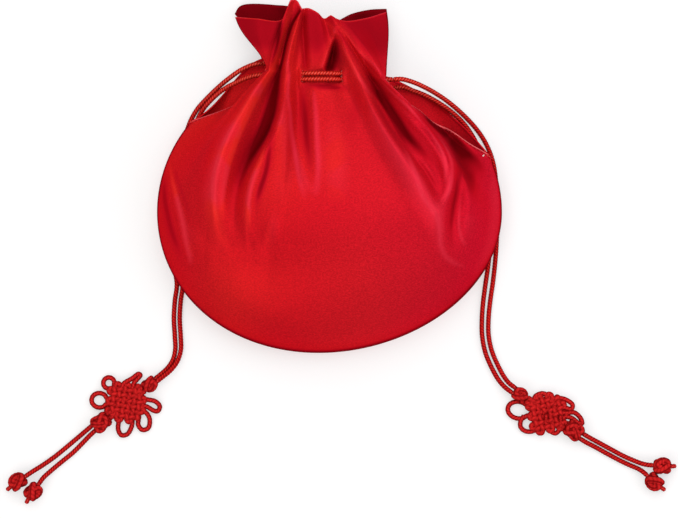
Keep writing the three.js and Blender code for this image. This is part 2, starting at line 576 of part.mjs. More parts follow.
for (const { side, neck, frontLeg, backLeg, knot, tails } of SIDES) {
  add(`${side}_drawstring_neck`, cordMesh(neck));
  add(`${side}_front_leg`, cordMesh(frontLeg));
  add(`${side}_back_leg`, cordMesh(backLeg));
  add(`${side}_upper_button_knot`, buttonKnot(knot, UPPER_BUTTON, knot.upperStem, 1));
  add(`${side}_endless_knot`, endlessKnot(knot));
  add(`${side}_lower_button_knot`, buttonKnot(knot, LOWER_BUTTON, knot.lowerStem, -1));
  for (const [letter, route] of Object.entries(tails)) {
    add(`${side}_tail_${letter}`, cordMesh(route));
    add(`${side}_tail_knot_${letter}`, knotAfter(route, TAIL_KNOT, TAIL_STUB));
  }
}

export default lucky_pouch;
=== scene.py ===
"""A red satin drawstring pouch lying on its back, with braided drawstrings that end in endless knots."""

import logging
import math
from dataclasses import dataclass, field
from enum import Enum

import bpy
import numpy as np
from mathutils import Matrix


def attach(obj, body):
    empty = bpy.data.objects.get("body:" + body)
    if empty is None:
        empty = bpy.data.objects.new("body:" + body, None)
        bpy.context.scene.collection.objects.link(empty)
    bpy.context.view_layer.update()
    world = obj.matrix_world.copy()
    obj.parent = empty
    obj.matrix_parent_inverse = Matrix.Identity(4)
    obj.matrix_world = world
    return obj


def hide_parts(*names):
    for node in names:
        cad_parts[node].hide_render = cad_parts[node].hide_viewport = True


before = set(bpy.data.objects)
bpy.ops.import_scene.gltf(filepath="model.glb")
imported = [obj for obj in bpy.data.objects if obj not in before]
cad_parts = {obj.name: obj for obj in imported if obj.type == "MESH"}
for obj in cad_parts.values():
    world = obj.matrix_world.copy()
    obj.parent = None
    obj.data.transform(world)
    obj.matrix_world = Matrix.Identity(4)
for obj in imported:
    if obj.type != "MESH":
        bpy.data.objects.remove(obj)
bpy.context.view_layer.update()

LOG = logging.getLogger("lucky_pouch")
MM = 0.001
BODY = "root"
SAME_POINT = 1e-4
ROUNDING = 1e-9
SAMPLES_PER_POINT = 40

Array = np.ndarray
Plan = tuple[float, float]
Place = tuple[float, float, float]
Colour = tuple[float, float, float]
Pair = tuple[float, float]
Socket = bpy.types.NodeSocket
Material = bpy.types.Material
Piece = bpy.types.Object


class Side(Enum):
    """The two drawstrings, by the side of the pouch that their legs leave on."""

    LEFT = "left"
    RIGHT = "right"


class Slot(Enum):
    """The record's material slots."""

    SATIN = "satin"
    SATIN_BACK = "satin_back"
    CORD = "braided_cord"


# Lines


def spline(points: list[Place] | Array, at: Array) -> Array:
    """A centripetal spline through points.

    Args:
        points: the points that the line passes through.
        at: places along it, where 0 is the first point and 1 the last, even in the count of points.

    Returns:
        One point for each place.
    """
    knots = np.asarray(points, float)
    last = len(knots) - 1
    padded = np.vstack([2 * knots[0] - knots[1], knots, 2 * knots[-1] - knots[-2]])
    scaled = np.clip(np.asarray(at, float), 0.0, 1.0) * last
    index = np.minimum(scaled.astype(int), last - 1)
    weight = (scaled - index)[:, None]
    before, start, end, after = (padded[index + step] for step in range(4))
    gaps = [np.sqrt(np.linalg.norm(b - a, axis=1))[:, None] for a, b in
            ((before, start), (start, end), (end, after))]
    middle = np.where(gaps[1] < SAME_POINT, 1.0, gaps[1])
    first = np.where(gaps[0] < SAME_POINT, middle, gaps[0])
    third = np.where(gaps[2] < SAME_POINT, middle, gaps[2])
    leave = (start - before) / first - (end - before) / (first + middle) + (end - start) / middle
    arrive = (end - start) / middle - (after - start) / (middle + third) + (after - end) / third
    leave, arrive = leave * middle, arrive * middle
    square = -3 * start + 3 * end - 2 * leave - arrive
    cube = 2 * start - 2 * end + leave + arrive
    return start + leave * weight + square * weight**2 + cube * weight**3


def evenly(line: Array, step: float) -> Array:
    """Spaces a line's points evenly.

    Args:
        line: the line's points.
        step: about how far apart the new points are.

    Returns:
        The same line with its new points.
    """
    walked = np.concatenate([[0.0], np.cumsum(np.linalg.norm(np.diff(line, axis=0), axis=1))])
    count = max(2, int(round(walked[-1] / step)) + 1)
    marks = np.linspace(0.0, walked[-1], count)
    return np.column_stack([np.interp(marks, walked, line[:, axis]) for axis in range(line.shape[1])])


def smooth_route(points: list[Place] | Array, step: float) -> Array:
    """A smooth line through a route's points, with points about one step apart."""
    return evenly(spline(points, np.linspace(0.0, 1.0, SAMPLES_PER_POINT * len(points))), step)


def length_of(line: Array) -> float:
    """How long a line is."""
    return float(np.linalg.norm(np.diff(line, axis=0), axis=1).sum())


def leaving(route: list[Place], gap: float) -> Place:
    """The point just clear of a route's end, where the next cord begins."""
    before, end = np.array(route[-2]), np.array(route[-1])
    return tuple(end + gap * (end - before) / np.linalg.norm(end - before))


def smoothstep(value: Array) -> Array:
    """Eases 0 to 1 in and out."""
    eased = np.clip(value, 0.0, 1.0)
    return eased * eased * (3 - 2 * eased)


# Meshes


@dataclass
class Skin:
    """Points, faces and surface values gathered for one mesh, in millimetres."""

    points: list[Array] = field(default_factory=list)
    faces: list[list[int]] = field(default_factory=list)
    shade: list[Array] = field(default_factory=list)
    chart: list[Array] = field(default_factory=list)
    count: int = 0

    def add(self, points: Array, faces: list[list[int]], shade: Array, chart: Array) -> None:
        """Adds one shape.

        Args:
            points: its corners.
            faces: its faces, by the numbers of their corners.
            shade: a value from 0 to 1 at each corner, which the finish reads as painted light and shade.
            chart: a place on the cloth or round the cord at each corner.
        """
        self.faces.extend([[corner + self.count for corner in face] for face in faces])
        self.points.append(points)
        self.shade.append(shade)
        self.chart.append(chart)
        self.count += len(points)

    def lift(self) -> None:
        """Raises the shape if any of it is below the ground."""
        lowest = min(0.0, min(float(points[:, 2].min()) for points in self.points))
        self.points = [points - (0.0, 0.0, lowest) for points in self.points]

    def piece(self, name: str, material: Material) -> Piece:
        """Makes the mesh object.

        Args:
            name: the piece's name.
            material: its finish.

        Returns:
            The object, at the origin.
        """
        mesh = bpy.data.meshes.new(name)
        mesh.from_pydata((np.vstack(self.points) * MM).tolist(), [], self.faces)
        mesh.polygons.foreach_set("use_smooth", [True] * len(mesh.polygons))
        values = mesh.attributes.new("shade", "FLOAT", "POINT")
        values.data.foreach_set("value", np.concatenate(self.shade).astype(np.float32))
        layer = mesh.uv_layers.new(name="chart")
        corners = np.zeros(len(mesh.loops), np.int32)
        mesh.loops.foreach_get("vertex_index", corners)
        layer.data.foreach_set("uv", np.vstack(self.chart)[corners].astype(np.float32).ravel())
        mesh.materials.append(material)
        mesh.validate()
        mesh.update()
        made = bpy.data.objects.new(name, mesh)
        bpy.context.scene.collection.objects.link(made)
        return made


def place_piece(piece: Piece, slot: Slot, *nodes: str) -> Piece:
    """Puts a piece on the pouch's body, in place of the CAD nodes that it stands for.

    Args:
        piece: the piece.
        slot: its material slot, which is not used.
        nodes: the CAD nodes that it replaces.

    Returns:
        The same piece.
    """
    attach(piece, BODY)
    if nodes:
        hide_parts(*nodes)
    LOG.info("%s: %d faces", piece.name, len(piece.data.polygons))
    return piece


@dataclass(frozen=True)
class Braid:
    """The four-column braid that shows on the cord's surface."""

    columns: int = 4
    pitch: float = 1.45
    slant: float = 0.85
    relief: float = 0.22
    # How strongly the painted shade picks out the strands.
    contrast: float = 1.0
    fall: float = 0.3

    def height(self, turn: Array, along: Array) -> Array:
        """How far the strands stand out, from 0 to 1.

        Args:
            turn: places round the cord, from 0 to 1.
            along: places along it, in millimetres.

        Returns:
            One height for each place.
        """
        column = turn * self.columns
        within = column % 1.0
        lean = np.where(np.floor(column + ROUNDING) % 2 < 1, within, 1.0 - within)
        strand = (along / self.pitch + self.slant * lean) % 1.0
        bulge = np.sqrt(np.clip(1.0 - (2.0 * strand - 1.0) ** 2, 0.0, 1.0))
        return bulge * np.clip(4.0 * within * (1.0 - within), 0.0, 1.0) ** self.fall


KNOTTED = Braid(pitch=1.6, relief=0.10, contrast=0.62)


@dataclass(frozen=True)
class Tube:
    """A braided tube along a line, with rounded ends and painted shade in its grooves and on its underside.
    """

    radius: float
    sides: int = 20
    step: float = 0.26
    braid: Braid = Braid()
    end_width: float = 0.72
    end_bulge: float = 0.3
    end_shade: float = 0.4
    under_shade: float = 0.25
    light_from: float = -0.1
    light_over: float = 0.8

    def rings(self, line: Array) -> tuple[Array, Array, Array]:
        """The directions of the tube at each of its rings.

        Args:
            line: the ring centres.

        Returns:
            The forward, side and up directions.
        """
        forward = np.gradient(line, axis=0)
        forward /= np.linalg.norm(forward, axis=1)[:, None]
        side = np.zeros_like(line)
        across = np.cross(forward[0], (0.0, 0.0, 1.0))
        for ring, ahead in enumerate(forward):
            across = across - ahead * np.dot(across, ahead)
            across = across / np.linalg.norm(across)
            side[ring] = across
        return forward, side, np.cross(side, forward)

    def faces(self, rings: int) -> list[list[int]]:
        """The tube's faces, with a fan at each end.

        Args:
            rings: how many rings the tube has.

        Returns:
            The faces, by the numbers of their corners: those of the rings, and then the two tips.
        """
        sides = self.sides
        head, tail, end = rings * sides, rings * sides + 1, (rings - 1) * sides
        faces = []
        for base in range(0, end, sides):
            for spoke in range(sides):
                after = (spoke + 1) % sides
                faces.append([base + spoke, base + after, base + sides + after, base + sides + spoke])
        for spoke in range(sides):
            after = (spoke + 1) % sides
            faces.append([head, after, spoke])
            faces.append([tail, end + spoke, end + after])
        return faces

    def add_to(self, skin: Skin, route: Array) -> Array:
        """Adds the tube to a skin.

        Args:
            skin: the mesh being gathered.
            route: the tube's centreline.

        Returns:
            The ring centres.
        """
        line = evenly(route, self.step)
        forward, side, up = self.rings(line)
        along = np.arange(len(line)) * self.step
        turn = np.arange(self.sides) / self.sides
        height = self.braid.height(turn[None, :] + 0.5 / self.braid.columns, along[:, None])
        angle = 2 * math.pi * turn[None, :, None]
        spokes = side[:, None, :] * np.cos(angle) + up[:, None, :] * np.sin(angle)
        out = self.radius * (1.0 - self.braid.relief * (1.0 - height))
        out[[0, -1]] *= self.end_width
        body = line[:, None, :] + spokes * out[:, :, None]
        bulge = self.end_bulge * self.radius
        tips = np.array([line[0] - bulge * forward[0], line[-1] + bulge * forward[-1]])
        # Painted shade: darker in the grooves between the strands and on the underside, where less light
        # falls.
        light = smoothstep((spokes[:, :, 2] - self.light_from) / self.light_over)
        above = self.under_shade + (1.0 - self.under_shade) * light
        strands = (0.5 + self.braid.contrast * (height - 0.5)) * above
        shade = np.append(strands.ravel(), [self.end_shade] * 2)
        chart = np.column_stack([
            np.append(np.tile(turn, len(line)), (0.0, 0.0)),
            np.append(np.repeat(along, self.sides), (along[0], along[-1])),
        ])
        skin.add(np.vstack([body.reshape(-1, 3), tips]), self.faces(len(line)), shade, chart)
        return line


# Finishes


class Nodes:
    """A material's node tree, with short ways to add nodes and links."""

    MIX_COLOURS = (6, 7)
    MIX_RESULT = 2

    def __init__(self, name: str) -> None:
        """Starts an empty material.

        Args:
            name: the material's name.
        """
        self.material = bpy.data.materials.new(name)
        self.material.use_nodes = True
        self.tree = self.material.node_tree
        self.tree.nodes.clear()

    def add(self, kind: str, **settings: object) -> bpy.types.Node:
        """Adds a node and sets its properties.

        Args:
            kind: the node's type.
            settings: its properties, or its inputs by name with spaces as underscores.

        Returns:
            The node.
        """
        node = self.tree.nodes.new(kind)
        for key, value in settings.items():
            if hasattr(node, key):
                setattr(node, key, value)
            else:
                node.inputs[key.replace("_", " ")].default_value = value
        return node

    def link(self, source: Socket, target: Socket) -> None:
        """Joins two sockets."""
        self.tree.links.new(source, target)

    def mix(self, factor: Socket, low: Colour | Socket, high: Colour | Socket) -> Socket:
        """Mixes two colours.

        Args:
            factor: how much of the second colour.
            low: the first colour, or a socket that gives it.
            high: the second.

        Returns:
            The mixed colour.
        """
        node = self.tree.nodes.new("ShaderNodeMix")
        node.data_type = "RGBA"
        self.link(factor, node.inputs["Factor"])
        for number, value in zip(self.MIX_COLOURS, (low, high)):
            if isinstance(value, Socket):
                self.link(value, node.inputs[number])
            else:
                node.inputs[number].default_value = (*value, 1.0)
        return node.outputs[self.MIX_RESULT]

    def ramp(self, source: Socket, low: float, high: float, start: float = 0.0, end: float = 1.0) -> Socket:
        """Maps a value from one range to another, and holds it there.

        Args:
            source: the value.
            low: the start of its range.
            high: the end of its range.
            start: what low becomes.
            end: what high becomes.

        Returns:
            The mapped value.
        """
        node = self.add("ShaderNodeMapRange", From_Min=low, From_Max=high, To_Min=start, To_Max=end)
        self.link(source, node.inputs["Value"])
        return node.outputs["Result"]

    def noise(self, scale: float, stretch: Place = (1.0, 1.0, 1.0), detail: float = 2.0) -> Socket:
        """A noise pattern in the object's own space.

        Args:
            scale: how fine it is, in waves to the metre.
            stretch: how much finer it is along each axis.
            detail: how many finer layers it has.

        Returns:
            Its value.
        """
        place = self.add("ShaderNodeTexCoord")
        mapping = self.add("ShaderNodeMapping", Scale=stretch)
        pattern = self.add("ShaderNodeTexNoise", Scale=scale, Detail=detail)
        self.link(place.outputs["Object"], mapping.inputs["Vector"])
        self.link(mapping.outputs["Vector"], pattern.inputs["Vector"])
        return pattern.outputs["Fac"]

    def shade(self) -> Socket:
        """The value that the mesh carries at each point: its painted light and shade."""
        return self.add("ShaderNodeAttribute", attribute_name="shade").outputs["Fac"]

    def along(self, axis: str) -> Socket:
        """Where a point is along one axis of the object's own space.

        Args:
            axis: X, Y or Z.

        Returns:
            The place, in metres.
        """
        place = self.add("ShaderNodeTexCoord")
        axes = self.add("ShaderNodeSeparateXYZ")
        self.link(place.outputs["Object"], axes.inputs[0])
        return axes.outputs[axis]

    def combine(self, operation: str, first: Socket, second: Socket) -> Socket:
        """Works out one value from two.

        Args:
            operation: how, such as MAXIMUM.
            first: the first value.
            second: the second value.

        Returns:
            The new value.
        """
        node = self.add("ShaderNodeMath", operation=operation)
        self.link(first, node.inputs[0])
        self.link(second, node.inputs[1])
        return node.outputs[0]

    def bump(self, height: Socket, strength: float, depth: float) -> bpy.types.Node:
        """Adds fine relief.

        Args:
            height: how far the surface stands out, from 0 to 1.
            strength: how much of the relief shows.
            depth: its depth, in metres.

        Returns:
            The node.
        """
        node = self.add("ShaderNodeBump", Strength=strength, Distance=depth)
        self.link(height, node.inputs["Height"])
        return node

    def finish(self, shader: bpy.types.Node, **inputs: Socket) -> Material:
        """Links the shader's inputs, and the shader to the surface.

        Args:
            shader: the surface's shader.
            inputs: what goes into it, by the input's name with spaces as underscores.

        Returns:
            The material.
        """
        for name, source in inputs.items():
            self.link(source, shader.inputs[name.replace("_", " ")])
        output = self.add("ShaderNodeOutputMaterial")
        self.link(shader.outputs[0], output.inputs["Surface"])
        return self.material


@dataclass(frozen=True)
class Satin:
    """Dyed satin: smooth and lustrous, with painted shade in the folds and a painted pale edge highlight.

    The shade ranges say where each tone takes over, by the value that the mesh carries: painted shadow
    in the folds, painted shade on their slopes, painted highlight where the satin is lit and a painted
    pale highlight along a turned edge. The cool and pink ranges are places along X, in metres.
    """

    name: str
    bright: Colour
    # The colour of the grain's random dark specks, and of the painted shadow in the folds.
    speck_and_painted_shadow: Colour
    # The tone that drifts warmer at random over the body, and the colour of the painted highlights.
    warm_tone_and_highlight: Colour
    cool: Colour
    # Painted shade on the slopes of the folds, with a painted pink sheen.
    sheen: Colour
    # The pink of the painted highlights.
    pink_highlight: Colour
    # The pale colour of the painted highlight along a turned edge, and of the painted glints.
    edge: Colour
    roughness: float = 0.40
    metallic: float = 0.30
    dark_shade: Pair = (0.0, 0.36)
    slope_shade: Pair = (0.28, 0.56)
    lit_shade: Pair = (0.62, 0.90)
    edge_shade: Pair = (0.92, 1.0)
    cool_across: Pair = (-0.02, 0.07)
    pink_from: Pair = (-0.025, -0.019)
    pink_until: Pair = (-0.005, -0.001)
    pink_right: Pair = (0.006, 0.022)
    drift_scale: float = 14.0
    drift_range: Pair = (0.35, 0.65)
    drift_most: float = 0.6
    patch_scale: float = 60.0
    patch_range: Pair = (0.45, 0.55)
    patch_most: float = 0.7
    grain_scale: float = 1150.0
    grain_range: Pair = (0.30, 0.70)
    speckle_most: float = 0.34
    sparkle_range: Pair = (0.54, 0.72)
    sparkle_most: float = 0.12
    thread_scale: float = 5200.0

    def colour(self, nodes: Nodes, grain: Socket) -> Socket:
        """Mixes the satin's colour, with its painted shade, highlights and glints.

        Args:
            nodes: the material's nodes.
            grain: the grain of the cloth.

        Returns:
            The colour.
        """
        shade = nodes.shade()
        across = nodes.along("X")
        drift = nodes.ramp(nodes.noise(self.drift_scale, detail=1.0), *self.drift_range, 0.0, self.drift_most)
        warmed = nodes.mix(drift, self.bright, self.warm_tone_and_highlight)
        body = nodes.mix(nodes.ramp(across, *self.cool_across), warmed, self.cool)
        speckled = nodes.mix(nodes.ramp(grain, *self.grain_range, self.speckle_most, 0.0), body, self.speck_and_painted_shadow)
        # Where the painted highlights turn pink: on the right, in the middle and in random patches.
        blotches = nodes.noise(self.patch_scale, detail=0.0)
        patches = nodes.ramp(blotches, *self.patch_range, 0.0, self.patch_most)
        middle = nodes.combine("MINIMUM", nodes.ramp(across, *self.pink_from),
                               nodes.ramp(across, *self.pink_until, 1.0, 0.0))
        pink = nodes.combine("MAXIMUM", nodes.ramp(across, *self.pink_right), middle)
        glow = nodes.mix(nodes.combine("MAXIMUM", pink, patches), self.warm_tone_and_highlight, self.pink_highlight)
        # Painted glints: pale specks of the grain on the painted highlights.
        sparkle = nodes.mix(nodes.ramp(grain, *self.sparkle_range, 0.0, self.sparkle_most), glow, self.edge)
        # Painted highlight where the shade is high.
        lit = nodes.mix(nodes.ramp(shade, *self.lit_shade), speckled, sparkle)
        # Painted shade with a painted pink sheen on the slopes of the folds.
        slope = nodes.mix(nodes.ramp(shade, *self.slope_shade), self.sheen, lit)
        # Painted shadow at the bottom of the folds.
        folded = nodes.mix(nodes.ramp(shade, *self.dark_shade), self.speck_and_painted_shadow, slope)
        # Painted pale highlight along a turned edge.
        return nodes.mix(nodes.ramp(shade, *self.edge_shade), folded, self.edge)

    def material(self) -> Material:
        """Builds the material.

        Returns:
            The material.
        """
        nodes = Nodes(self.name)
        grain = nodes.noise(self.grain_scale, (1.0, 1.5, 1.0))
        threads = nodes.noise(self.thread_scale, (1.0, 0.16, 0.4), 1.0)
        fine = nodes.bump(threads, 0.10, 0.0001)
        nodes.link(nodes.bump(grain, 0.11, 0.0002).outputs["Normal"], fine.inputs["Normal"])
        shader = nodes.add("ShaderNodeBsdfPrincipled", Metallic=self.metallic, Specular_IOR_Level=0.0,
                           Specular_Tint=(1.0, 0.10, 0.16, 1.0), Anisotropic=0.35, Sheen_Weight=0.04,
                           Sheen_Roughness=0.45, Sheen_Tint=(1.0, 0.06, 0.16, 1.0))
        rough = nodes.ramp(grain, *self.grain_range, self.roughness - 0.05, self.roughness + 0.07)
        return nodes.finish(shader, Base_Color=self.colour(nodes, grain), Roughness=rough,
                            Normal=fine.outputs["Normal"])


@dataclass(frozen=True)
class BraidedCord:
    """Knotting cord: lustrous strands, with painted shade in the grooves between them and on the underside.

    It has painted glints on the crests, and painted light that makes it brighter near the neck.

    The shade ranges are values that the mesh carries, and the neck's is a stretch of Y, in metres.
    """

    name: str
    strand: Colour
    # The colour of the painted shade in the grooves and on the underside, and of the random wear.
    painted_shade_and_wear: Colour
    # The colour of the painted glints on the strands' crests near the neck.
    glint: Colour
    # A brighter copy of the strand colour: painted light near the neck, and the painted glints on the legs
    # and knots.
    upper: Colour
    roughness: float = 0.42
    near_neck: Pair = (0.028, 0.052)
    strand_shade: Pair = (0.15, 0.85)
    glint_shade: Pair = (0.80, 1.0)
    glint_most: float = 0.8
    wear_scale: float = 160.0
    wear_most: float = 0.18
    fibre_scale: float = 4200.0
    noise_range: Pair = (0.3, 0.7)

    def material(self) -> Material:
        """Builds the material.

        Returns:
            The material.
        """
        nodes = Nodes(self.name)
        shade = nodes.shade()
        by_neck = nodes.ramp(nodes.along("Y"), *self.near_neck)
        # Painted light: the strands are brighter near the neck.
        painted_neck_light = nodes.mix(by_neck, self.strand, self.upper)
        # Painted shade in the grooves and on the underside.
        body = nodes.mix(nodes.ramp(shade, *self.strand_shade), self.painted_shade_and_wear, painted_neck_light)
        # Painted glints on the crests of the strands.
        lustre = nodes.mix(by_neck, self.upper, self.glint)
        glint = nodes.mix(nodes.ramp(shade, *self.glint_shade, 0.0, self.glint_most), body, lustre)
        wear = nodes.ramp(nodes.noise(self.wear_scale), *self.noise_range, 0.0, self.wear_most)
        fibres = nodes.noise(self.fibre_scale, detail=1.0)
        shader = nodes.add("ShaderNodeBsdfPrincipled", Metallic=0.15, Specular_IOR_Level=0.0,
                           Specular_Tint=(1.0, 0.25, 0.22, 1.0), Sheen_Weight=0.02, Sheen_Roughness=0.5,
                           Sheen_Tint=(1.0, 0.2, 0.16, 1.0))
        rough = nodes.ramp(fibres, *self.noise_range, self.roughness, self.roughness + 0.14)
        return nodes.finish(shader, Base_Color=nodes.mix(wear, glint, self.painted_shade_and_wear), Roughness=rough,
                            Normal=nodes.bump(fibres, 0.18, 0.0001).outputs["Normal"])


@dataclass(frozen=True)
class SewingThread:
    """Twisted sewing thread."""

    name: str
    light: Colour
    dark: Colour
    twist_scale: float = 2600.0
    twist_range: Pair = (0.35, 0.65)

    def material(self) -> Material:
        """Builds the material.

        Returns:
            The material.
        """
        nodes = Nodes(self.name)
        twist = nodes.ramp(nodes.noise(self.twist_scale, detail=1.0), *self.twist_range)
        shader = nodes.add("ShaderNodeBsdfPrincipled", Roughness=0.5, Sheen_Weight=0.2)
        return nodes.finish(shader, Base_Color=nodes.mix(twist, self.dark, self.light))


@dataclass(frozen=True)
class StudioFloor:
    """A plain white floor that is white to the camera and keeps the shadow."""

    name: str = "studio_floor"
    albedo: float = 0.55
    lift: float = 0.53

    def material(self) -> Material:
        """Builds the material.

        Returns:
            The material.
        """
        nodes = Nodes(self.name)
        rays = nodes.add("ShaderNodeLightPath")
        seen = nodes.combine("MAXIMUM", rays.outputs["Is Camera Ray"], rays.outputs["Is Glossy Ray"])
        shader = nodes.add("ShaderNodeBsdfPrincipled", Roughness=0.9, Specular_IOR_Level=0.0,
                           Base_Color=(self.albedo, self.albedo, self.albedo, 1.0),
                           Emission_Color=(1.0, 1.0, 1.0, 1.0))
        return nodes.finish(shader, Emission_Strength=nodes.ramp(seen, 0.0, 1.0, 0.0, self.lift))


@dataclass(frozen=True)
class Finishes:
    """Every finish of the pouch."""

    satin: Satin = Satin(
        "red_satin",
        bright=(0.75, 0.010, 0.019), speck_and_painted_shadow=(0.10, 0.0004, 0.002), warm_tone_and_highlight=(0.88, 0.024, 0.020),
        cool=(0.75, 0.009, 0.030), sheen=(0.56, 0.005, 0.016), pink_highlight=(0.84, 0.026, 0.056),
        edge=(0.88, 0.16, 0.17),
    )
    # The back panel's satin is a lighter copy of the front's: painted light that makes up for the shade it
    # lies in.
    satin_back: Satin = Satin(
        "red_satin_inside_lightened",
        bright=(0.88, 0.012, 0.018), speck_and_painted_shadow=(0.12, 0.0006, 0.003), warm_tone_and_highlight=(0.92, 0.016, 0.018),
        cool=(0.84, 0.010, 0.022), sheen=(0.54, 0.005, 0.014), pink_highlight=(0.88, 0.020, 0.034),
        edge=(0.66, 0.024, 0.032),
    )
    cord: BraidedCord = BraidedCord(
        "braided_red_cord",
        strand=(0.62, 0.011, 0.013), painted_shade_and_wear=(0.11, 0.001, 0.002),
        glint=(0.96, 0.20, 0.15), upper=(0.96, 0.040, 0.024),
    )
    # A lighter copy of the cord: painted light that makes up for the shade inside the knots' weave. Its glint
    # and upper colours paint glints on the knots.
    lightened_knot_cord: BraidedCord = BraidedCord(
        "knotted_red_cord_lightened",
        strand=(0.82, 0.024, 0.024), painted_shade_and_wear=(0.17, 0.002, 0.003),
        glint=(0.96, 0.12, 0.10), upper=(0.96, 0.12, 0.10),
    )
    white_thread: SewingThread = SewingThread("white_thread", (0.95, 0.80, 0.78), (0.80, 0.55, 0.52))
    pale_thread: SewingThread = SewingThread("pale_thread", (0.86, 0.22, 0.20), (0.60, 0.07, 0.06))
    red_thread: SewingThread = SewingThread("red_thread", (0.66, 0.016, 0.022), (0.42, 0.006, 0.010))
    floor: StudioFloor = StudioFloor()


# Cords and knots

CORD_RADIUS = 1.25
JOIN_GAP = 0.4
KNOT_SIDES = 16
KNOT_STEP = 0.3
CORE_OVERLAP = 0.4
CORE_LEAD = 0.6
EAR_TURN = 155.0
EAR_POINTS = 11
EAR_ROOT = (1.6, 0.35)

LEFT_NECK_ROUTE: list[Place] = [
    (-33.2, 51, 14.9), (-28, 51.1, 15), (-23, 51.2, 15.6), (-19, 51.25, 17.6), (-15.3, 51.25, 21.2),
    (-11.5, 51.25, 25.4), (-7, 51.25, 26.8), (-3, 51.25, 26.9), (1, 51.2, 26.6), (3.8, 51.2, 24.7),
    (6.6, 51.2, 21.3), (10, 51.2, 18.2), (13.5, 51.3, 16.8), (17.5, 51.4, 16.3), (21.5, 51.6, 16.2),
    (25, 52.4, 15), (26.8, 54.2, 12), (25.1, 56.4, 8.8), (21.5, 57.2, 7.4), (15, 57.4, 7.2),
    (5, 57.4, 7.2), (-10, 57.4, 7.2), (-24, 57.3, 7.2), (-33.5, 57, 7.2),
]
RIGHT_NECK_ROUTE: list[Place] = [
    (31.5, 48.6, 15.4), (26, 48.5, 15.6), (20, 48.5, 16), (14, 48.45, 16.6), (10, 48.4, 18.2),
    (6.6, 48.4, 21.3), (3.8, 48.4, 24.7), (1, 48.4, 26.6), (-3, 48.4, 26.9), (-7, 48.4, 26.8),
    (-11.5, 48.4, 25.4), (-15.3, 48.4, 21.2), (-19, 48.4, 17.6), (-23, 48.4, 16.2), (-27.5, 48.2, 15.6),
    (-31, 47.2, 14), (-32.6, 45.4, 11), (-31, 43.6, 8.4), (-27.5, 42.9, 7.3), (-18, 42.7, 7),
    (-5, 42.6, 7), (10, 42.7, 7), (22, 43, 7.2), (32, 44.5, 7.2),
]
LEFT_BACK_LEG_ROUTE: list[Place] = [
    leaving(LEFT_NECK_ROUTE, JOIN_GAP), (-37.8, 56.4, 7.1), (-44.4, 53.6, 6.2), (-50.8, 49.2, 4.4),
    (-56, 44.9, 3), (-61.4, 39.7, 1.8), (-65.8, 34.9, 1.35), (-69.2, 29.4, 1.3), (-71, 25, 1.3),
    (-73.4, 18, 1.3), (-76.4, 11, 1.3), (-80, 1, 1.3), (-82, -11, 1.3), (-82, -24, 1.3), (-80.2, -36, 1.3),
    (-77.6, -47, 1.3), (-76.6, -54, 1.3), (-77.6, -62, 1.3), (-78.1, -71, 1.3), (-77.6, -80, 1.3),
    (-77.4, -86.4, 1.3), (-78.6, -91.6, 1.3), (-81.2, -95.6, 1.4), (-84.4, -98.6, 2), (-87.3, -100.9, 2.5),
]
LEFT_FRONT_LEG_ROUTE: list[Place] = [
    leaving(LEFT_NECK_ROUTE[::-1], JOIN_GAP), (-37.6, 50.5, 13.8), (-42.6, 49, 11.8), (-47.4, 46.9, 9.5),
    (-51.6, 44.8, 7.6), (-55.4, 42.2, 6.2), (-59, 39, 5.2), (-62.2, 35.6, 4.3), (-64.8, 31.8, 3.2),
    (-66.6, 27.9, 2), (-68, 24.2, 1.4), (-70.5, 17.4, 1.3), (-73.5, 10, 1.3), (-77, 0.3, 1.3),
    (-79, -11.5, 1.3), (-79, -23.8, 1.3), (-77.2, -35.5, 1.3), (-74.7, -46.3, 1.3), (-73.7, -54.2, 1.3),
    (-74.7, -62.2, 1.3), (-75.2, -71, 1.3), (-74.7, -79.8, 1.4), (-74.6, -86.6, 2.2), (-76.5, -92.6, 3.1),
    (-79.8, -96.9, 3.8), (-83.4, -99.9, 4.4), (-86.3, -102.2, 4.8),
]
RIGHT_FRONT_LEG_ROUTE: list[Place] = [
    leaving(RIGHT_NECK_ROUTE[::-1], JOIN_GAP), (36.2, 48.7, 14.9), (41.5, 47.4, 12.4), (46.5, 45.4, 9.6),
    (53.2, 41.9, 6.4), (60.2, 37.2, 3.6), (67.8, 30.6, 1.6), (74.6, 23, 1.3), (78.9, 16, 1.3),
    (81.9, 8, 1.3), (83.4, -1, 1.3), (84, -12, 1.3), (84.1, -23, 1.3), (83.8, -33, 1.3),
    (83.1, -42.5, 1.3), (82, -52.5, 1.3), (80.7, -61.5, 1.3), (79.8, -70.5, 1.3), (79.8, -79, 1.3),
    (81.4, -87, 1.3), (84.6, -94.6, 1.3), (87.4, -99.8, 1.7), (90, -103.2, 2.8), (92.7, -105.3, 3.5),
]
RIGHT_BACK_LEG_ROUTE: list[Place] = [
    leaving(RIGHT_NECK_ROUTE, JOIN_GAP), (36.6, 45, 7.2), (42, 43.2, 6.6), (47.8, 41, 5.8), (53.4, 38, 5),
    (57.8, 35.2, 4.4), (61.2, 32.7, 3.5), (64.6, 29.8, 2.3), (67.6, 26.6, 1.5), (70.4, 22.8, 1.3),
    (73.6, 17.2, 1.3), (77.2, 7.6, 1.3), (79.8, -3.5, 1.3), (80.9, -15, 1.3), (81.1, -26, 1.3),
    (80.4, -36, 1.3), (79.5, -45, 1.3), (78.2, -54, 1.3), (77.1, -62.5, 1.3), (76.5, -70.5, 1.3),
    (76.6, -79.6, 1.3), (78.3, -88.2, 1.3), (81.9, -96.6, 1.3), (85, -101.9, 1.7), (88.1, -105.4, 2.8),
    (91.1, -107.7, 3.5),
]
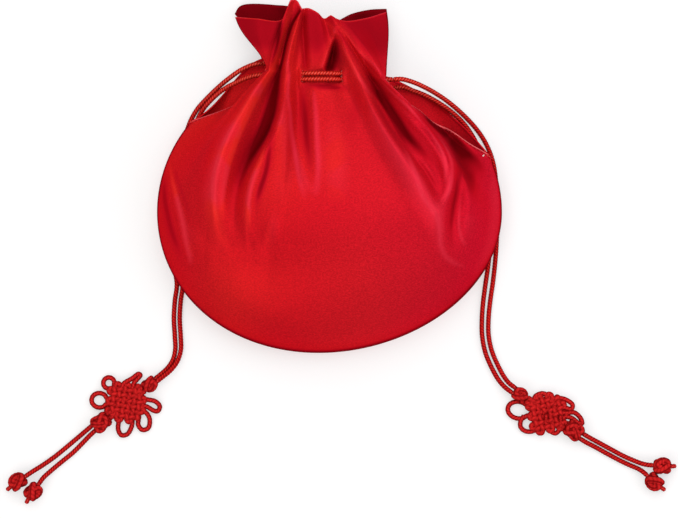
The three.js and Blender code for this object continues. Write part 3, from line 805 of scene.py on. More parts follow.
LEFT_TAIL_A_ROUTE: list[Place] = [
    (-119.6, -125, 4.2), (-122, -127, 2.9), (-126, -130.4, 1.6), (-131.6, -135.1, 1.3),
    (-137.6, -140, 1.3), (-144, -144.5, 1.8), (-149, -147.6, 3.2), (-152.4, -149.9, 4),
]
LEFT_TAIL_B_ROUTE: list[Place] = [
    (-117.8, -127.3, 4.2), (-120.2, -129.5, 2.9), (-123.8, -133.2, 1.6), (-128.8, -138.2, 1.3),
    (-134.2, -142.6, 1.3), (-139.7, -147.2, 1.8), (-143.5, -150.7, 3.2), (-145.7, -153.7, 4),
]
RIGHT_TAIL_A_ROUTE: list[Place] = [
    (127.6, -128.9, 4.2), (130.4, -130.6, 2.9), (135, -133.1, 1.6), (141.2, -136.5, 1.4),
    (147.6, -139.9, 1.7), (152.4, -142, 2.7), (156.4, -143.5, 3.8), (159.6, -144.2, 4.2), (162, -144.4, 4.3),
]
RIGHT_TAIL_B_ROUTE: list[Place] = [
    (126, -131.3, 4.2), (128.8, -133, 2.9), (133.4, -135.4, 1.6), (139.7, -138.9, 1.3),
    (146.1, -142.3, 1.3), (151, -144.6, 1.3), (154.8, -146.2, 2.1), (157.3, -147.8, 3.3),
    (159.2, -149.5, 3.8),
]


@dataclass(frozen=True)
class TurksHead:
    """A ball of interlaced cord: one strand that winds round an axis and crosses itself over and under."""

    leads: int
    bights: int
    radius: float
    half: float
    cord: float
    lift: float = 0.5
    taper: float = 0.62
    samples: int = 260

    def strand(self) -> Array:
        """Winds the strand.

        Returns:
            Its centreline, with the axis along X and the middle at the origin.
        """
        turn = np.linspace(0.0, 2 * math.pi, self.samples)
        along = (self.half - self.cord) * np.cos(self.bights * turn)
        belly = np.sqrt(1.0 - self.taper * (along / self.half) ** 2)
        over = self.lift * np.sin((self.leads - 1) * self.bights * turn)
        out = (self.radius - self.cord - self.lift) * belly + over
        return np.column_stack([along, out * np.cos(self.leads * turn), out * np.sin(self.leads * turn)])


def turned(points: Array, degrees: float, to: Place) -> Array:
    """Turns points about Z and moves them.

    Args:
        points: the points.
        degrees: how far they turn.
        to: where the origin goes.

    Returns:
        The points in their new places.
    """
    angle = math.radians(degrees)
    cos, sin = math.cos(angle), math.sin(angle)
    return points @ np.array([[cos, sin, 0.0], [-sin, cos, 0.0], [0.0, 0.0, 1.0]]) + np.array(to)


@dataclass(frozen=True)
class Ear:
    """One loop of an endless knot: its centreline seen from above, and its height at the root and the tip."""

    points: tuple[Plan, ...]
    root: float = 2.9
    tip: float = 1.5
    droop: float = 0.7

    def line(self) -> Array:
        """Gives the loop its heights.

        Returns:
            The loop's centreline.
        """
        plan = np.array(self.points)
        share = np.sin(np.linspace(0.0, math.pi, len(plan))) ** self.droop
        return np.column_stack([plan, self.root + (self.tip - self.root) * share])


def ring_ear(middle: Plan, across: float, along: float, opens: float) -> Ear:
    """A round ear.

    Args:
        middle: the middle of the loop.
        across: its half width.
        along: its half length, in the direction that it points.
        opens: the direction from the loop to the knot, in degrees.

    Returns:
        The ear.
    """
    angles = np.radians(np.linspace(-EAR_TURN, EAR_TURN, EAR_POINTS))
    shape = np.column_stack([-along * np.cos(angles), across * np.sin(angles), np.zeros(EAR_POINTS)])
    reach, half = EAR_ROOT[0] * along, EAR_ROOT[1] * across
    root = np.array([[reach, -half, 0.0], [reach, half, 0.0]])
    loop = turned(np.vstack([root[:1], shape, root[1:]]), opens, (*middle, 0.0))
    return Ear(tuple((float(x), float(y)) for x, y, _ in loop))


@dataclass(frozen=True)
class EndlessKnot:
    """A square woven knot with ears, corner to the cord, between two button knots.

    A stem runs from a share of the way to the corner to just short of the button knot. Both of its ends
    also have a distance from the middle line and a height. The core of a button knot bends part of the
    way to its centre, and runs on a little.
    """

    middle: Plan
    entry: float
    upper_stem: float
    lower_stem: float
    ears: tuple[Ear, ...]
    strands: int = 6
    pitch: float = 2.6
    cord: float = 1.38
    wave: float = 1.0
    lift: float = 2.9
    upper: TurksHead = TurksHead(leads=2, bights=3, radius=4.1, half=4.1, cord=1.75)
    lower: TurksHead = TurksHead(leads=3, bights=4, radius=4.9, half=5.0, cord=1.65, lift=0.55)
    upper_half: float = 3.6
    lower_half: float = 4.4
    upper_radius: float = 3.7
    lower_radius: float = 4.5
    corner_turn: float = 45.0
    samples: int = 60
    overrun: float = 0.42
    swing: float = 0.62
    swing_points: int = 7
    swing_height: float = 0.4
    stem_from: Place = (0.55, 0.8, 0.4)
    stem_to: Place = (0.2, 1.15, 0.6)
    core_bend: Pair = (0.25, 1.2)
    core_slack: float = 0.04

    @property
    def corner(self) -> float:
        """From the middle to a corner of the woven body."""
        return self.strands * self.pitch / math.sqrt(2.0)

    def serpentine(self, family: int) -> Array:
        """One family of strands as a single line that turns back at each side.

        Args:
            family: 0 or 1, the second family crossing the first.

        Returns:
            The line, in the knot's own frame, with the body's sides along X and Y.
        """
        middle = (self.strands - 1) / 2
        reach = (middle + self.overrun) * self.pitch
        along = np.linspace(-reach, reach, self.samples)
        angles = np.linspace(0.0, math.pi, self.swing_points + 2)[1:-1]
        sign = 1.0 if family == 0 else -1.0
        line = []
        for strand in range(self.strands):
            height = sign * self.wave * np.cos(math.pi * (along / self.pitch + middle + strand))
            offset = (strand - middle) * self.pitch
            way = 1 if strand % 2 == 0 else -1
            run = np.column_stack([along, np.full(self.samples, offset), height])[::way]
            line.append(run)
            if strand < self.strands - 1:
                line.append(np.column_stack([
                    run[-1, 0] + way * self.swing * self.pitch * np.sin(angles),
                    offset + self.pitch * (1.0 - np.cos(angles)) / 2,
                    np.full(self.swing_points, run[-1, 2] * self.swing_height),
                ]))
        whole = np.vstack(line)
        return whole if family == 0 else whole[:, [1, 0, 2]]

    def build(self, name: str, material: Material) -> Piece:
        """Builds the woven body with its ears and stems.

        Args:
            name: the piece's name.
            material: its finish.

        Returns:
            The piece.
        """
        skin = Skin()
        tube = Tube(self.cord, sides=14, step=0.34, braid=KNOTTED)
        ear_tube = Tube(CORD_RADIUS, KNOT_SIDES, KNOT_STEP, KNOTTED)
        centre = (*self.middle, self.lift)
        for family in range(2):
            strand = turned(self.serpentine(family), self.corner_turn, (0.0, 0.0, 0.0))
            tube.add_to(skin, turned(smooth_route(strand, KNOT_STEP), self.entry, centre))
        for ear in self.ears:
            ear_tube.add_to(skin, smooth_route(ear.line(), KNOT_STEP))
        from_share, from_side, from_height = self.stem_from
        short_by, to_side, to_height = self.stem_to
        for direction, stem in ((1.0, self.upper_stem), (-1.0, self.lower_stem)):
            for side in (-1.0, 1.0):
                ends = np.array([
                    [direction * from_share * self.corner, from_side * side, from_height],
                    [direction * (self.corner + stem - short_by), to_side * side, to_height],
                ])
                tube.add_to(skin, turned(evenly(ends, KNOT_STEP), self.entry, centre))
        return skin.piece(name, material)

    def button(self, name: str, material: Material, upper: bool,
               cords: tuple[list[Place], list[Place]]) -> Piece:
        """Builds one of the two button knots.

        Args:
            name: the piece's name.
            material: its finish.
            upper: whether it is the one towards the pouch.
            cords: the routes of the two cords that run into it, each with its last point at the knot.

        Returns:
            The piece.
        """
        ball = self.upper if upper else self.lower
        half = self.upper_half if upper else self.lower_half
        radius = self.upper_radius if upper else self.lower_radius
        stem = self.upper_stem if upper else self.lower_stem
        direction = 1.0 if upper else -1.0
        along = direction * (self.corner + stem + half)
        angle = math.radians(self.entry)
        centre = (self.middle[0] + along * math.cos(angle), self.middle[1] + along * math.sin(angle), radius)
        skin = Skin()
        weave = Tube(ball.cord, KNOT_SIDES, KNOT_STEP, KNOTTED)
        weave.add_to(skin, turned(ball.strand(), self.entry, centre))
        core_tube = Tube(CORD_RADIUS - self.core_slack, KNOT_SIDES, KNOT_STEP)
        inwards, onwards = self.core_bend
        for route in cords:
            before, end = np.array(route[-2]), np.array(route[-1])
            ahead = (end - before) / np.linalg.norm(end - before)
            inside = end + inwards * (np.array(centre) - end) + onwards * ahead
            core = np.array([end - CORE_OVERLAP * ahead, end + CORE_LEAD * ahead, inside, centre])
            core_tube.add_to(skin, smooth_route(core, KNOT_STEP))
        skin.lift()
        return skin.piece(name, material)


@dataclass(frozen=True)
class TailKnot:
    """A stopper knot at the end of a tail, with a stub of cord beyond it.

    The core bends at places given as a share of the knot's half length, a distance aside and a height.
    """

    route: list[Place]
    spin: float = 0.0
    ball: TurksHead = TurksHead(leads=2, bights=3, radius=4.6, half=4.7, cord=1.95)
    radius: float = 4.2
    half: float = 4.4
    stub: float = 2.4
    stub_aside: float = 0.5
    stub_height: float = 1.4
    core_radius: float = 1.15
    core_bends: tuple[Place, ...] = ((0.0, 0.2, 0.1), (0.7, 0.1, -0.2))

    def build(self, name: str, material: Material) -> Piece:
        """Builds the knot.

        Args:
            name: the piece's name.
            material: its finish.

        Returns:
            The piece.
        """
        before, end = np.array(self.route[-2]), np.array(self.route[-1])
        heading = math.degrees(math.atan2(end[1] - before[1], end[0] - before[0]))
        ahead = np.array([math.cos(math.radians(heading)), math.sin(math.radians(heading))])
        centre = (*(end[:2] + ahead * (JOIN_GAP + self.half)), self.radius)
        skin = Skin()
        angle = math.radians(self.spin)
        cos, sin = math.cos(angle), math.sin(angle)
        roll = np.array([[1, 0, 0], [0, cos, sin], [0, -sin, cos]])
        weave = Tube(self.ball.cord, KNOT_SIDES, KNOT_STEP, KNOTTED)
        weave.add_to(skin, turned(self.ball.strand() @ roll, heading, centre))
        start = end[2] - self.radius
        core = np.array([
            [-self.half - JOIN_GAP - CORE_OVERLAP, 0.0, start],
            [-self.half + CORE_LEAD, 0.0, start],
            *([self.half * share, aside, height] for share, aside, height in self.core_bends),
            [self.half + self.stub, self.stub_aside, self.stub_height - self.radius],
        ])
        core_tube = Tube(self.core_radius, sides=14, step=KNOT_STEP)
        core_tube.add_to(skin, turned(smooth_route(core, KNOT_STEP), heading, centre))
        skin.lift()
        return skin.piece(name, material)


@dataclass(frozen=True)
class Drawstring:
    """One drawstring: the stretch in the neck, its two legs, its knots and its two tails."""

    side: Side
    neck: list[Place]
    front_leg: list[Place]
    back_leg: list[Place]
    tail_a: list[Place]
    tail_b: list[Place]
    knot: EndlessKnot
    tail_knot_a: TailKnot
    tail_knot_b: TailKnot
    leg_lengths: Pair
    tail_lengths: Pair
    tube: Tube = Tube(CORD_RADIUS)
    route_step: float = 0.2

    def cord(self, part: str, route: list[Place], material: Material) -> tuple[Piece, Array]:
        """Builds one stretch of cord in place of its CAD node.

        Args:
            part: the end of the node's name.
            route: the points that it follows.
            material: its finish.

        Returns:
            The piece and its ring centres in metres.
        """
        skin = Skin()
        line = self.tube.add_to(skin, smooth_route(route, self.route_step))
        name = f"{self.side.value}_{part}"
        piece = place_piece(skin.piece(f"{name}_braid", material), Slot.CORD, name)
        LOG.info("%s is %.1f mm long", name, length_of(line))
        return piece, line * MM

    def build(self, material: Material, knotted: Material) -> None:
        """Builds and places every piece of the drawstring.

        Args:
            material: the finish of the cord.
            knotted: the finish of the knots.
        """
        side = self.side.value
        self.cord("drawstring_neck", self.neck, material)
        knots = [
            place_piece(self.knot.build(f"{side}_endless_knot_weave", knotted),
                        Slot.CORD, f"{side}_endless_knot"),
            place_piece(self.knot.button(f"{side}_upper_button_weave", knotted, True,
                                         (self.front_leg, self.back_leg)),
                        Slot.CORD, f"{side}_upper_button_knot"),
            place_piece(self.knot.button(f"{side}_lower_button_weave", knotted, False,
                                         (self.tail_a[::-1], self.tail_b[::-1])),
                        Slot.CORD, f"{side}_lower_button_knot"),
        ]
        legs = (("front_leg", self.front_leg, knots), ("back_leg", self.back_leg, []))
        for (part, route, carried), length in zip(legs, self.leg_lengths):
            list(self.cord(part, route, material))
        tails = (("a", self.tail_a, self.tail_knot_a), ("b", self.tail_b, self.tail_knot_b))
        for (letter, route, stopper), length in zip(tails, self.tail_lengths):
            end = place_piece(stopper.build(f"{side}_tail_stopper_{letter}", knotted), Slot.CORD,
                              f"{side}_tail_knot_{letter}")
            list(self.cord(f"tail_{letter}", route, material))


LEFT_KNOT = EndlessKnot(
    middle=(-102.1, -113.2), entry=37.9, upper_stem=0.57, lower_stem=0.47,
    ears=(
        Ear(((-104.5, -106.0), (-103.1, -103.4), (-99.0, -100.9), (-95.6, -98.6), (-94.9, -99.3),
             (-96.4, -101.2), (-98.1, -103.3), (-99.0, -106.0)), 3.6, 2.6),
        ring_ear((-110.7, -103.25), 2.8, 2.8, -45.0),
        ring_ear((-115.4, -111.9), 3.6, 4.0, -8.0),
        Ear(((-94.5, -110.8), (-91.4, -111.5), (-87.3, -112.5), (-85.2, -115.0), (-86.2, -117.3),
             (-88.1, -117.1), (-91.4, -115.2), (-94.5, -114.0))),
        Ear(((-95.8, -117.5), (-95.6, -120.0), (-96.0, -124.2), (-93.9, -126.7), (-91.0, -125.8),
             (-90.2, -121.7), (-91.4, -118.8), (-93.0, -117.2))),
        Ear(((-105.3, -118.5), (-105.6, -121.3), (-106.0, -126.7), (-104.3, -129.4), (-101.4, -128.8),
             (-99.3, -125.0), (-98.9, -121.7), (-99.0, -118.5))),
    ),
)
RIGHT_KNOT = EndlessKnot(
    middle=(109.2, -118.3), entry=146.4, upper_stem=1.77, lower_stem=0.47,
    ears=(
        ring_ear((94.8, -116.8), 4.2, 5.4, -12.0),
        Ear(((97.5, -119.5), (95.9, -122.3), (95.9, -125.3), (98.2, -127.3), (101.5, -127.5), (104.2, -126.1),
             (105.5, -123.5))),
        Ear(((108.4, -119.0), (108.6, -121.5), (109.2, -124.5), (111.1, -127.5), (113.4, -128.4),
             (115.4, -126.3), (116.1, -122.3), (115.6, -119.5)), 6.2, 2.2),
        Ear(((102.4, -112.5), (103.2, -109.9), (106.9, -108.4), (110.4, -110.4), (111.0, -113.0)), 3.6, 2.8),
        Ear(((112.0, -112.5), (114.5, -110.9), (118.2, -111.4), (121.9, -114.2), (121.3, -116.2),
             (118.2, -115.6), (115.5, -115.0)), 3.6, 2.4),
        Ear(((115.5, -118.0), (118.8, -118.2), (122.7, -118.0), (126.0, -121.0), (126.6, -123.6),
             (124.5, -123.0), (121.5, -120.8), (118.0, -119.8)), 3.6, 2.6),
    ),
)

LEFT_DRAWSTRING = Drawstring(
    Side.LEFT,
    neck=LEFT_NECK_ROUTE, front_leg=LEFT_FRONT_LEG_ROUTE, back_leg=LEFT_BACK_LEG_ROUTE,
    tail_a=LEFT_TAIL_A_ROUTE, tail_b=LEFT_TAIL_B_ROUTE, knot=LEFT_KNOT,
    tail_knot_a=TailKnot(LEFT_TAIL_A_ROUTE), tail_knot_b=TailKnot(LEFT_TAIL_B_ROUTE, spin=40.0),
    leg_lengths=(180.0, 180.0), tail_lengths=(42.0, 40.0),
)
RIGHT_DRAWSTRING = Drawstring(
    Side.RIGHT,
    neck=RIGHT_NECK_ROUTE, front_leg=RIGHT_FRONT_LEG_ROUTE, back_leg=RIGHT_BACK_LEG_ROUTE,
    tail_a=RIGHT_TAIL_A_ROUTE, tail_b=RIGHT_TAIL_B_ROUTE, knot=RIGHT_KNOT,
    tail_knot_a=TailKnot(RIGHT_TAIL_A_ROUTE, spin=70.0), tail_knot_b=TailKnot(RIGHT_TAIL_B_ROUTE),
    leg_lengths=(185.0, 180.0), tail_lengths=(39.0, 39.0),
)


# Pouch panels

HALF_WIDTH = 86.25
WIDEST_ROW_Y = -17.5
LOWER_REACH = 70.5
UPPER_REACH = 76.0
LOWER_LEAN = 5.5
LEFT_SLIT_END = 143.0
RIGHT_SLIT_END = 382.0
SEAM_HEIGHT = 10.0
BOW_PLACE = 0.42
HEM_WIDTH = 1.5
HEM_COLUMNS = (0.12, 0.25, 0.4, 0.6, 0.8)
HEM_SIDES = (0, -1)
HEM_SEARCH = 40
FLARE = 1.4
BELLY_RISE = 1.6
ROW_CROWDING = 1.7
RIPPLE_TURN = 20.0
LATE_BOW_SCALE = 27 / 4
BUTTONHOLE_RADIUS = CORD_RADIUS - 0.05
BUTTONHOLE_STRIDE = 4
COURSE_SAMPLES = 24
COURSE_STEP = 0.8
FURTHEST_REACH = 2.8


@dataclass(frozen=True)
class FoldLine:
    """One fold line of a panel: its neck, its rim, the seam angle that it runs to, and its outward bows.

    The bow is early on the way to the seam, and the late bow two thirds of the way there. The belly
    pushes the line along X up the ruffle, and the ripple makes it wavy on the way to the seam.
    """

    neck: Place
    rim: Place
    seam: float
    bow: float
    late: float = 0.0
    belly: float = 0.0
    ripple: float = 0.0


@dataclass(frozen=True)
class Crease:
    """A ridge, or a valley where the rise is negative, along a course of (x, y, rise).

    The reaches are how far it spreads to the left and the right of the line, walking along it. They grow
    on the way, to spread times as much at its end. Lean pushes the crest sideways, to the right where it
    is positive. A painted light line is the same, with a rise in shade instead of in millimetres: a
    painted highlight where the rise is positive and painted shade where it is negative.
    """

    course: tuple[Place, ...]
    left: float
    right: float
    lean: float = 0.0
    spread: float = 1.6

    def press(self, grid: Array) -> tuple[Array, Array]:
        """How the crease moves a panel's points.

        Args:
            grid: the panel's points, one row each.

        Returns:
            How far each point moves, and the crease's own height at each, both in millimetres.
        """
        marks = np.linspace(0.0, 1.0, COURSE_SAMPLES * len(self.course))
        line = evenly(spline(self.course, marks), COURSE_STEP)
        plan, height = line[:, :2], line[:, 2]
        ahead = np.gradient(plan, axis=0)
        ahead /= np.linalg.norm(ahead, axis=1)[:, None]
        slope = np.gradient(height)
        growth = np.linspace(1.0, self.spread, len(line))
        widest = FURTHEST_REACH * self.spread * max(self.left, self.right)
        low, high = plan.min(axis=0) - widest, plan.max(axis=0) + widest
        near = np.flatnonzero(np.all((grid[:, :2] > low) & (grid[:, :2] < high), axis=1))
        moved, pressed = np.zeros_like(grid), np.zeros(len(grid))
        if not len(near):
            return moved, pressed
        spots = grid[near, :2]
        nearest = np.argmin(((spots[:, None, :] - plan[None, :, :]) ** 2).sum(axis=2), axis=1)
        away = spots - plan[nearest]
        along = (away * ahead[nearest]).sum(axis=1)
        beside = ahead[nearest, 0] * away[:, 1] - ahead[nearest, 1] * away[:, 0]
        beyond = ((nearest == 0) & (along < 0)) | ((nearest == len(plan) - 1) & (along > 0))
        reach = np.where(beside > 0, self.left, self.right) * growth[nearest]
        far = (beside / reach) ** 2 + np.where(beyond, (along / reach) ** 2, 0.0)
        level = height[nearest] + np.where(beyond, 0.0, along / COURSE_STEP * slope[nearest])
        rise = level * np.exp(-far)
        pressed[near] = rise
        moved[near, 2] = rise
        if self.lean:
            share = self.lean * np.abs(rise) / float(np.abs(height).max())
            moved[near, 0] = share * ahead[nearest, 1]
            moved[near, 1] = -share * ahead[nearest, 0]
        return moved, pressed


def seam_points(degrees: Array, height: float) -> Array:
    """The seam seen from above: an ellipse with a deeper lower half that leans to the left.

    Args:
        degrees: directions from its middle.
        height: how high the seam lies.

    Returns:
        One point for each direction.
    """
    angle = np.radians(degrees)
    below = np.minimum(0.0, np.sin(angle))
    reach = np.where(below < 0, LOWER_REACH, UPPER_REACH)
    return np.column_stack([
        HALF_WIDTH * np.cos(angle) - LOWER_LEAN * below**2,
        WIDEST_ROW_Y + reach * np.sin(angle),
        np.full(len(angle), height),
    ])


@dataclass(frozen=True)
class Panel:
    """One cloth panel of the pouch, from the seam up through the neck to the rim of the ruffle.

    The painted shadow along the seam has a reach seen from above and one in space. The painted shadow of
    the stitched line inside a hem has a depth and a width, and the painted shadow along the ruffle's
    edges a width and a shade. The ruffle's painted shade has a scale and a start, up the ruffle and to
    its sides.
    """

    name: str
    node: str
    folds: tuple[FoldLine, ...]
    creases: tuple[Crease, ...]
    painted_light_lines: tuple[Crease, ...]
    body_rows: int
    ruffle_rows: int
    columns_per_fold: int
    outward: float
    flat: Pair
    area: float
    ruffle_shade: Pair
    painted_hem_tones: Pair
    painted_rim_tone: float
    thickness: float = 0.8
    plain_shade: float = 0.6
    shade_per_mm: float = 0.065
    fold_shade_most: float = 0.8
    shade_range: Pair = (0.04, 0.92)
    seam_shadow: Pair = (2.8, 14.0)
    seam_shade: float = 0.05
    hem_shadow: Pair = (0.4, 0.5)
    painted_hem_width: float = 0.9
    ruffle_edge_shadow: Pair = (0.4, 0.1)
    ruffle_shade_upwards: Pair = (0.7, 0.15)
    ruffle_shade_sideways: Pair = (2.2, 0.9)

    def heights(self, neck: Array, edge: Array, share: float) -> Array:
        """The outer face's height a share of the way from the neck to the seam.

        Args:
            neck: the panel's points at the neck.
            edge: 0 in the middle of the panel and 1 at its slit edges.
            share: 0 at the neck and 1 at the seam.

        Returns:
            One height for each point at the neck.
        """
        raise NotImplementedError

    def grid(self) -> Array:
        """Lays the plain outer face, before it is creased.

        Returns:
            Its points, in rows from the seam to the rim.
        """
        columns = (len(self.folds) - 1) * self.columns_per_fold
        hem = np.array(HEM_COLUMNS) / columns
        across = np.sort(np.concatenate([np.linspace(0.0, 1.0, columns + 1), hem, 1.0 - hem]))
        neck = spline([fold.neck for fold in self.folds], across)
        rim = spline([fold.rim for fold in self.folds], across)
        course = spline([(fold.seam, fold.bow, fold.late) for fold in self.folds], across)
        sway = spline([(fold.belly, fold.ripple, 0.0) for fold in self.folds], across)
        seam = seam_points(course[:, 0], SEAM_HEIGHT)
        edge = np.abs(2 * across - 1)
        turn = neck + BOW_PLACE * (seam - neck)
        outward = turn[:, :2] - np.array([0.0, WIDEST_ROW_Y])
        outward /= np.linalg.norm(outward, axis=1)[:, None]
        turn[:, :2] += 2 * course[:, 1:2] * outward
        rows = []
        for row in range(self.body_rows + 1):
            share = 1.0 - (row / self.body_rows) ** ROW_CROWDING
            path = (1 - share) ** 2 * neck + 2 * share * (1 - share) * turn + share**2 * seam
            path[:, :2] += LATE_BOW_SCALE * share**2 * (1 - share) * course[:, 2:3] * outward
            path[:, :2] += math.sin(RIPPLE_TURN * share) * share * (1 - share) * sway[:, 1:2] * outward
            path[:, 2] = self.heights(neck, edge, share)
            rows.append(path)
        for row in range(1, self.ruffle_rows + 1):
            climb = row / self.ruffle_rows
            path = neck + (rim - neck) * np.array([climb**FLARE, climb, float(smoothstep(np.array(climb)))])
            path[:, 0] += sway[:, 0] * math.sin(math.pi * climb**BELLY_RISE)
            rows.append(path)
        return np.array(rows)

    def pressed(self, grid: Array) -> tuple[Array, Array]:
        """Presses every crease into the outer face.

        Args:
            grid: the plain face's points.

        Returns:
            The creased face's points and the sum of the creases' heights at each.
        """
        flat = grid.reshape(-1, 3)
        moved, level = np.zeros_like(flat), np.zeros(len(flat))
        for crease in self.creases:
            shift, rise = crease.press(flat)
            moved += shift
            level += rise
        return (flat + moved).reshape(grid.shape), level.reshape(grid.shape[:2])

    def build(self, material: Material, cords: list[Array]) -> Piece:
        """Builds the panel as a closed sheet, with a buttonhole wherever a cord passes through it.

        Args:
            material: its finish.
            cords: the centrelines of the cords in the neck.

        Returns:
            The piece.
        """
        outer, level = self.pressed(self.grid())
        normal = np.cross(np.gradient(outer, axis=1), np.gradient(outer, axis=0)) * self.outward
        normal /= np.maximum(np.linalg.norm(normal, axis=2), ROUNDING)[:, :, None]
        inner = outer - normal * self.thickness
        rows, columns = outer.shape[0] - 1, outer.shape[1] - 1
        centres = (outer[:-1, :-1] + outer[1:, :-1] + outer[:-1, 1:] + outer[1:, 1:]).reshape(-1, 3) / 4
        gone = np.zeros(len(centres), bool)
        for cord in cords:
            apart = centres[:, None, :] - cord[None, ::BUTTONHOLE_STRIDE, :]
            gone |= np.sqrt((apart**2).sum(axis=2)).min(axis=1) < BUTTONHOLE_RADIUS
        gone = gone.reshape(rows, columns)
        layer = (rows + 1) * (columns + 1)
        number = np.arange(layer).reshape(rows + 1, columns + 1)
        faces = self.faces(number, layer, gone)
        shade = self.shades(outer, level)
        chart = np.stack(np.meshgrid(np.linspace(0, 1, columns + 1), np.linspace(0, 1, rows + 1)), axis=2)
        skin = Skin()
        skin.add(np.vstack([outer.reshape(-1, 3), inner.reshape(-1, 3)]), faces,
                 np.tile(shade.ravel(), 2), np.tile(chart.reshape(-1, 2), (2, 1)))
        piece = skin.piece(self.name, material)
        LOG.info("%s: one face is %.5f square metres", self.name,
                 sum(face.area for face in piece.data.polygons) / 2)
        return piece

    def shades(self, outer: Array, level: Array) -> Array:
        """The finish's value at each point: painted light on ridges, painted shade in valleys, painted edge
        tones.

        Args:
            outer: the outer face's points.
            level: the sum of the creases' heights at each.

        Returns:
            The values, from 0 to 1.
        """
        body = self.body_rows
        # Painted light by the creases' heights, lighter on ridges and darker in valleys, less the ruffle's
        # painted shade.
        ruffle_darkening = self.ruffle_painted_shade(level.shape[0] - 1, level.shape[1] - 1)
        shade = np.clip(self.plain_shade + self.shade_per_mm * level - ruffle_darkening, 0.0, self.fold_shade_most)
        # Painted highlights and painted shade along the painted light lines.
        for line in self.painted_light_lines:
            shade += line.press(outer.reshape(-1, 3))[1].reshape(shade.shape)
        shade = np.clip(shade, *self.shade_range)
        # Painted shadow along the seam of the front.
        if self.outward > 0:
            from_seam = outer - outer[:1]
            seen, away = np.linalg.norm(from_seam[:, :, :2], axis=2), np.linalg.norm(from_seam, axis=2)
            clear = np.maximum(seen / self.seam_shadow[0], away / self.seam_shadow[1])
            shade *= self.seam_shade + (1.0 - self.seam_shade) * smoothstep(clear)
        # Painted shade of the stitched line inside each hem, a painted tone on the hem's edge, and a painted
        # dark outline along the ruffle's side edges.
        depth, width = self.hem_shadow
        edge_width, edge_shade = self.ruffle_edge_shadow
        for side, hem_tone in zip(HEM_SIDES, self.painted_hem_tones):
            away = np.linalg.norm(outer - outer[:, [side]], axis=2)
            shade[:body] -= depth * np.exp(-(((away[:body] - HEM_WIDTH) / width) ** 2))
            shade[:body][away[:body] < self.painted_hem_width] = hem_tone
            shade[body:][away[body:] < edge_width] = edge_shade
        # A painted tone along the rim: a pale highlight on the front, a dark outline on the back.
        shade[-1] = self.painted_rim_tone
        return np.clip(shade, 0.0, 1.0)

    def hem_line(self, side: int) -> Array:
        """Where the hem of a slit is sewn down.

        Args:
            side: 0 for the slit on the left, -1 for the one on the right.

        Returns:
            The line on the outer face, from the seam to the neck.
        """
        outer, _ = self.pressed(self.grid())
        body = outer[: self.body_rows]
        inwards = body[:, :HEM_SEARCH] if side == 0 else body[:, : -HEM_SEARCH - 1 : -1]
        line = []
        for row in inwards:
            away = np.linalg.norm(row - row[0], axis=1)
            after = max(1, int(np.argmax(away > HEM_WIDTH)))
            share = (HEM_WIDTH - away[after - 1]) / (away[after] - away[after - 1])
            line.append(row[after - 1] + share * (row[after] - row[after - 1]))
        return np.array(line)

    def on_face(self, plan: Array) -> Array:
        """Raises places seen from above to the outer face.

        Args:
            plan: the places.

        Returns:
            The points on the face.
        """
        points = self.pressed(self.grid())[0].reshape(-1, 3)
        nearest = ((plan[:, None, :] - points[None, :, :2]) ** 2).sum(axis=2).argmin(axis=1)
        return np.column_stack([plan, points[nearest, 2]])

    def ruffle_painted_shade(self, rows: int, columns: int) -> Array:
        """How much painted shade darkens the ruffle beyond the body.

        Args:
            rows: how many rows of cells the panel has.
            columns: how many columns of cells it has.

        Returns:
            What to take from the shade, at each point.
        """
        upwards, start = self.ruffle_shade_upwards
        climb = smoothstep((np.arange(rows + 1) - self.body_rows) / self.ruffle_rows / upwards + start)
        sideways, margin = self.ruffle_shade_sideways
        edge = smoothstep(np.abs(np.linspace(-1.0, 1.0, columns + 1)) * sideways - margin)
        middle, flare = self.ruffle_shade
        return climb[:, None] * (middle + (flare - middle) * edge[None, :])

    def faces(self, number: Array, layer: int, gone: Array) -> list[list[int]]:
        """The sheet's faces on both sides, round its edges and round the buttonholes.

        Args:
            number: the numbers of the outer face's points, in rows.
            layer: how many points each side has.
            gone: which cells of the sheet are open.

        Returns:
            The faces, by the numbers of their corners.
        """
        rows, columns = gone.shape
        open_at = np.ones((rows + 2, columns + 2), bool)
        open_at[1:-1, 1:-1] = gone
        faces = []

        def keep(corners: list[int]) -> None:
            """Adds a face that looks outwards."""
            faces.append(corners if self.outward > 0 else corners[::-1])

        for row in range(rows):
            for column in range(columns):
                if gone[row, column]:
                    continue
                a, b = int(number[row, column]), int(number[row, column + 1])
                c, d = int(number[row + 1, column + 1]), int(number[row + 1, column])
                keep([a, b, c, d])
                keep([a + layer, d + layer, c + layer, b + layer])
                if open_at[row, column + 1]:
                    keep([a + layer, b + layer, b, a])
                if open_at[row + 2, column + 1]:
                    keep([d, c, c + layer, d + layer])
                if open_at[row + 1, column]:
                    keep([a, d, d + layer, a + layer])
                if open_at[row + 1, column + 2]:
                    keep([b + layer, c + layer, c, b])
        return faces


